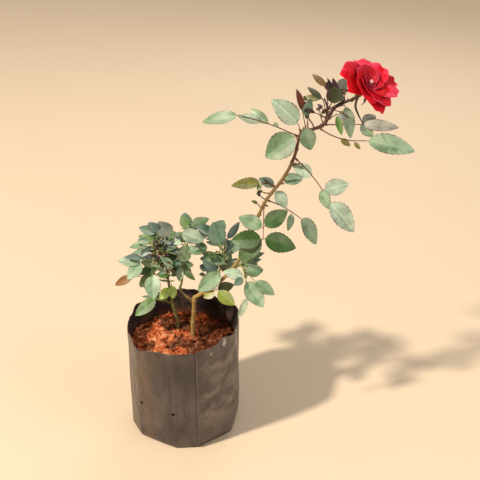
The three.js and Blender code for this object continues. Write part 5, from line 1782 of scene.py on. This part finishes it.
def build_heart():
    """The pale tips at the bloom's heart."""
    heart, wander = Shape(), series(43)
    for i in range(STAMENS):
        turn, away = STAMEN_TURN * i, 0.4 + 0.13 * i
        out = np.array([away * math.cos(turn), away * math.sin(turn), 0])
        foot, tip = out * 0.5 + UP * STAMEN_FOOT, out + UP * (STAMEN_TIP + next(wander))
        bow = (foot + tip) / 2 + np.array([0.3 * next(wander), 0.3 * next(wander), 0])
        points, faces = tube([foot, bow, tip - UP * 1.1, tip - UP * 0.4, tip],
                             [0.16, 0.16, 0.2, 0.55, 0.3], 6)
        heart.add(on_bloom(points), faces, 0)
    pollen = finish("heart_tips", lambda tree: {
        "Base Color": tree.mix(tree.grain(900, 2), linear("#f7e2d4"), linear("#eeb0a0")),
        "Roughness": 0.6})
    piece("bloom_heart", heart.mesh("bloom_heart", [pollen]), "petal", "rose_bloom")


# Stage


def build_stage(settings):
    """A plain floor, soft lights and the camera."""
    mesh = bpy.data.meshes.new("floor")
    corners = [(x * FLOOR_REACH, y * FLOOR_REACH, -FLOOR_DROP)
               for x, y in ((-1, -1), (1, -1), (1, 1), (-1, 1))]
    mesh.from_pydata(corners, [], [(0, 1, 2, 3)])
    mesh.materials.append(finish("floor_paint", lambda tree: {
        "Base Color": tree.mix(tree.grain(6, 2), settings.floor, shade(settings.floor, 0.97)),
        "Roughness": 0.75}))
    shown("floor", mesh)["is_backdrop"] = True

    for name, place, size, colour in LIGHTS:
        light = bpy.data.lights.new(name, "AREA")
        light.shape, light.size, light.color = "DISK", size, colour
        light.energy = getattr(settings, name)
        lamp = shown(name, light)
        lamp.location = place
        lamp.rotation_euler = (Vector(LIGHT_AIM) - Vector(place)).to_track_quat("-Z", "Y").to_euler()

    world = bpy.data.worlds.new("studio")
    world.use_nodes = True
    sky = world.node_tree.nodes["Background"]
    sky.inputs[0].default_value = SKY_COLOUR
    sky.inputs[1].default_value = settings.sky
    bpy.context.scene.world = world
    bpy.context.scene.view_settings.view_transform = "Standard"

    lens = bpy.data.cameras.new("camera")
    lens.lens, lens.sensor_width = CAMERA_LENS, CAMERA_SENSOR
    camera = shown("camera", lens)
    camera.location = CAMERA_PLACE
    camera.rotation_euler = (math.radians(90 - CAMERA_DIP), 0, 0)
    bpy.context.scene.camera = camera


# Settings, operators and panel


def tone(name, description, default):
    """A colour for the panel."""
    return FloatVectorProperty(
        name=name, description=description, subtype="COLOR", size=4, min=0, max=1,
        default=linear(default))


def length_of(name, description, default, most):
    """A length in metres for the panel."""
    return FloatProperty(
        name=name, description=description, default=default, min=0, max=most, unit="LENGTH",
        precision=5)


def power_of(name, description, default):
    """A light's power in watts for the panel."""
    return FloatProperty(
        name=name, description=description, default=default, min=0, unit="POWER")


class BagSettings(bpy.types.PropertyGroup):
    """Sizes and colours of the grow bag."""
    colour: tone("Sheet", "Colour of the clean sheet", "#332c2a")
    # The dust colour is also the base of the painted sheen on the right and of the painted highlight
    # along the folds
    dust: tone("Dust", "Colour of the dusty patches", "#584d47")
    inside: tone("Inside", "Colour of the inner wall", "#2a2322")
    sheet: length_of("Thickness", "Thickness of the sheet", 0.0008, 0.0014)
    crumple: length_of("Crumple", "Depth of the creases and dents", 0.0016, 0.004)
    hole: length_of("Drain hole", "Radius of a drain hole", 0.0023, 0.005)


class SoilSettings(bpy.types.PropertyGroup):
    """Sizes and colours of the soil."""
    colour: tone("Soil", "Colour of the soil", "#ad5128")
    # Colour of the painted highlights on the soil's crests
    light: tone("Crests", "Colour of its dry crests", "#eaa676")
    lumps: FloatProperty(name="Lumps", description="Size of the lumps", default=1, min=0.3, max=2)


class CaneSettings(bpy.types.PropertyGroup):
    """Sizes of the canes."""
    sides: IntProperty(name="Sides", description="Sides round a cane", default=14, min=6, max=32)
    relief: length_of("Relief", "Depth of the bark's relief", 0.0009, 0.003)
    prickle: length_of("Prickle", "Length of a prickle", 0.0026, 0.008)
    spacing: length_of("Spacing", "Least distance between prickles", 0.009, 0.05)
    shoot_girth: FloatProperty(
        name="Shoot girth", description="Thickness of the side shoots", default=1, min=0.2, max=3)


class FoliageSettings(bpy.types.PropertyGroup):
    """Sizes of the leaves."""
    finer_size: length_of("Finer leaflet", "Length of a leaflet on a finer twig", 0.021, 0.04)


class BloomSettings(bpy.types.PropertyGroup):
    """Sizes and colours of the bloom."""
    colour: tone("Petal", "Colour of the petals", "#d0061c")
    # The rim colour also paints the light on the petals' flushed patches
    rim: tone("Rim", "Colour of the petals' paler parts", "#f65a7e")
    petal_thickness: length_of("Petal", "Thickness of a petal", 0.0005, 0.001)


class StageSettings(bpy.types.PropertyGroup):
    """Floor and lights."""
    floor: tone("Floor", "Colour of the floor", "#ead3b6")
    key: power_of("Key", "Power of the main light", 215)
    fill: power_of("Fill", "Power of the side light", 9)
    back: power_of("Back", "Power of the far light", 7)
    sky: FloatProperty(
        name="Sky", description="Strength of the light all round", default=0.36, min=0)


class ROSE_OT_bag(bpy.types.Operator):
    """Build the grow bag"""
    bl_idname, bl_label = "rose.build_bag", "Grow Bag"

    def execute(self, context):
        build_bag(context.scene.rose_bag)
        return {"FINISHED"}


class ROSE_OT_soil(bpy.types.Operator):
    """Build the soil and its lumps"""
    bl_idname, bl_label = "rose.build_soil", "Soil"

    def execute(self, context):
        build_soil(context.scene.rose_soil)
        return {"FINISHED"}


class ROSE_OT_canes(bpy.types.Operator):
    """Build the canes and boughs"""
    bl_idname, bl_label = "rose.build_canes", "Canes"

    def execute(self, context):
        build_canes(context.scene.rose_canes)
        return {"FINISHED"}


class ROSE_OT_shoots(bpy.types.Operator):
    """Grow the side shoots, stubs and dry twigs"""
    bl_idname, bl_label = "rose.build_shoots", "Side shoots"

    def execute(self, context):
        build_shoots(context.scene.rose_canes)
        return {"FINISHED"}


class ROSE_OT_prickles(bpy.types.Operator):
    """Build the prickles on the canes"""
    bl_idname, bl_label = "rose.build_prickles", "Prickles"

    def execute(self, context):
        build_prickles(context.scene.rose_canes)
        return {"FINISHED"}


class ROSE_OT_foliage(bpy.types.Operator):
    """Build the leaves and twigs"""
    bl_idname, bl_label = "rose.build_foliage", "Foliage"

    def execute(self, context):
        build_foliage(context.scene.rose_foliage)
        return {"FINISHED"}


class ROSE_OT_bloom(bpy.types.Operator):
    """Build the bloom"""
    bl_idname, bl_label = "rose.build_bloom", "Bloom"

    def execute(self, context):
        build_petals(context.scene.rose_bloom)
        build_hip()
        build_heart()
        return {"FINISHED"}


class ROSE_OT_stage(bpy.types.Operator):
    """Build the floor, the lights and the camera"""
    bl_idname, bl_label = "rose.build_stage", "Stage"

    def execute(self, context):
        build_stage(context.scene.rose_stage)
        return {"FINISHED"}


SETTINGS = {
    "rose_bag": BagSettings, "rose_soil": SoilSettings, "rose_canes": CaneSettings,
    "rose_foliage": FoliageSettings, "rose_bloom": BloomSettings, "rose_stage": StageSettings,
}
OPERATORS = [
    (ROSE_OT_stage, "rose_stage"), (ROSE_OT_bag, "rose_bag"), (ROSE_OT_soil, "rose_soil"),
    (ROSE_OT_canes, "rose_canes"), (ROSE_OT_shoots, "rose_canes"), (ROSE_OT_prickles, "rose_canes"),
    (ROSE_OT_foliage, "rose_foliage"), (ROSE_OT_bloom, "rose_bloom"),
]


class ROSE_PT_panel(bpy.types.Panel):
    """The rose bush's settings and build steps"""
    bl_idname, bl_label = "ROSE_PT_panel", "Rose Bush"
    bl_space_type, bl_region_type, bl_category = "VIEW_3D", "UI", "Rose Bush"

    def draw(self, context):
        for operator, name in OPERATORS:
            box = self.layout.box()
            box.operator(operator.bl_idname)
            for prop in SETTINGS[name].__annotations__:
                box.prop(getattr(context.scene, name), prop)


def register():
    """Registers the classes and hangs the settings on the scene."""
    for cls in (*SETTINGS.values(), *(operator for operator, _ in OPERATORS), ROSE_PT_panel):
        bpy.utils.register_class(cls)
    for name, cls in SETTINGS.items():
        setattr(bpy.types.Scene, name, PointerProperty(type=cls))


def unregister():
    """Takes the settings and classes away again."""
    for name in SETTINGS:
        delattr(bpy.types.Scene, name)
    for cls in (ROSE_PT_panel, *(operator for operator, _ in OPERATORS), *SETTINGS.values()):
        bpy.utils.unregister_class(cls)


def main():
    """Builds everything in order."""
    register()
    for operator, _ in OPERATORS:
        category, name = operator.bl_idname.split(".")
        getattr(getattr(bpy.ops, category), name)()
    corners = {"cad": CAD_BOX, "visual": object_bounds()}
    {name: [list(corner) for corner in box] for name, box in corners.items()}


if __name__ == "__main__":
    main()
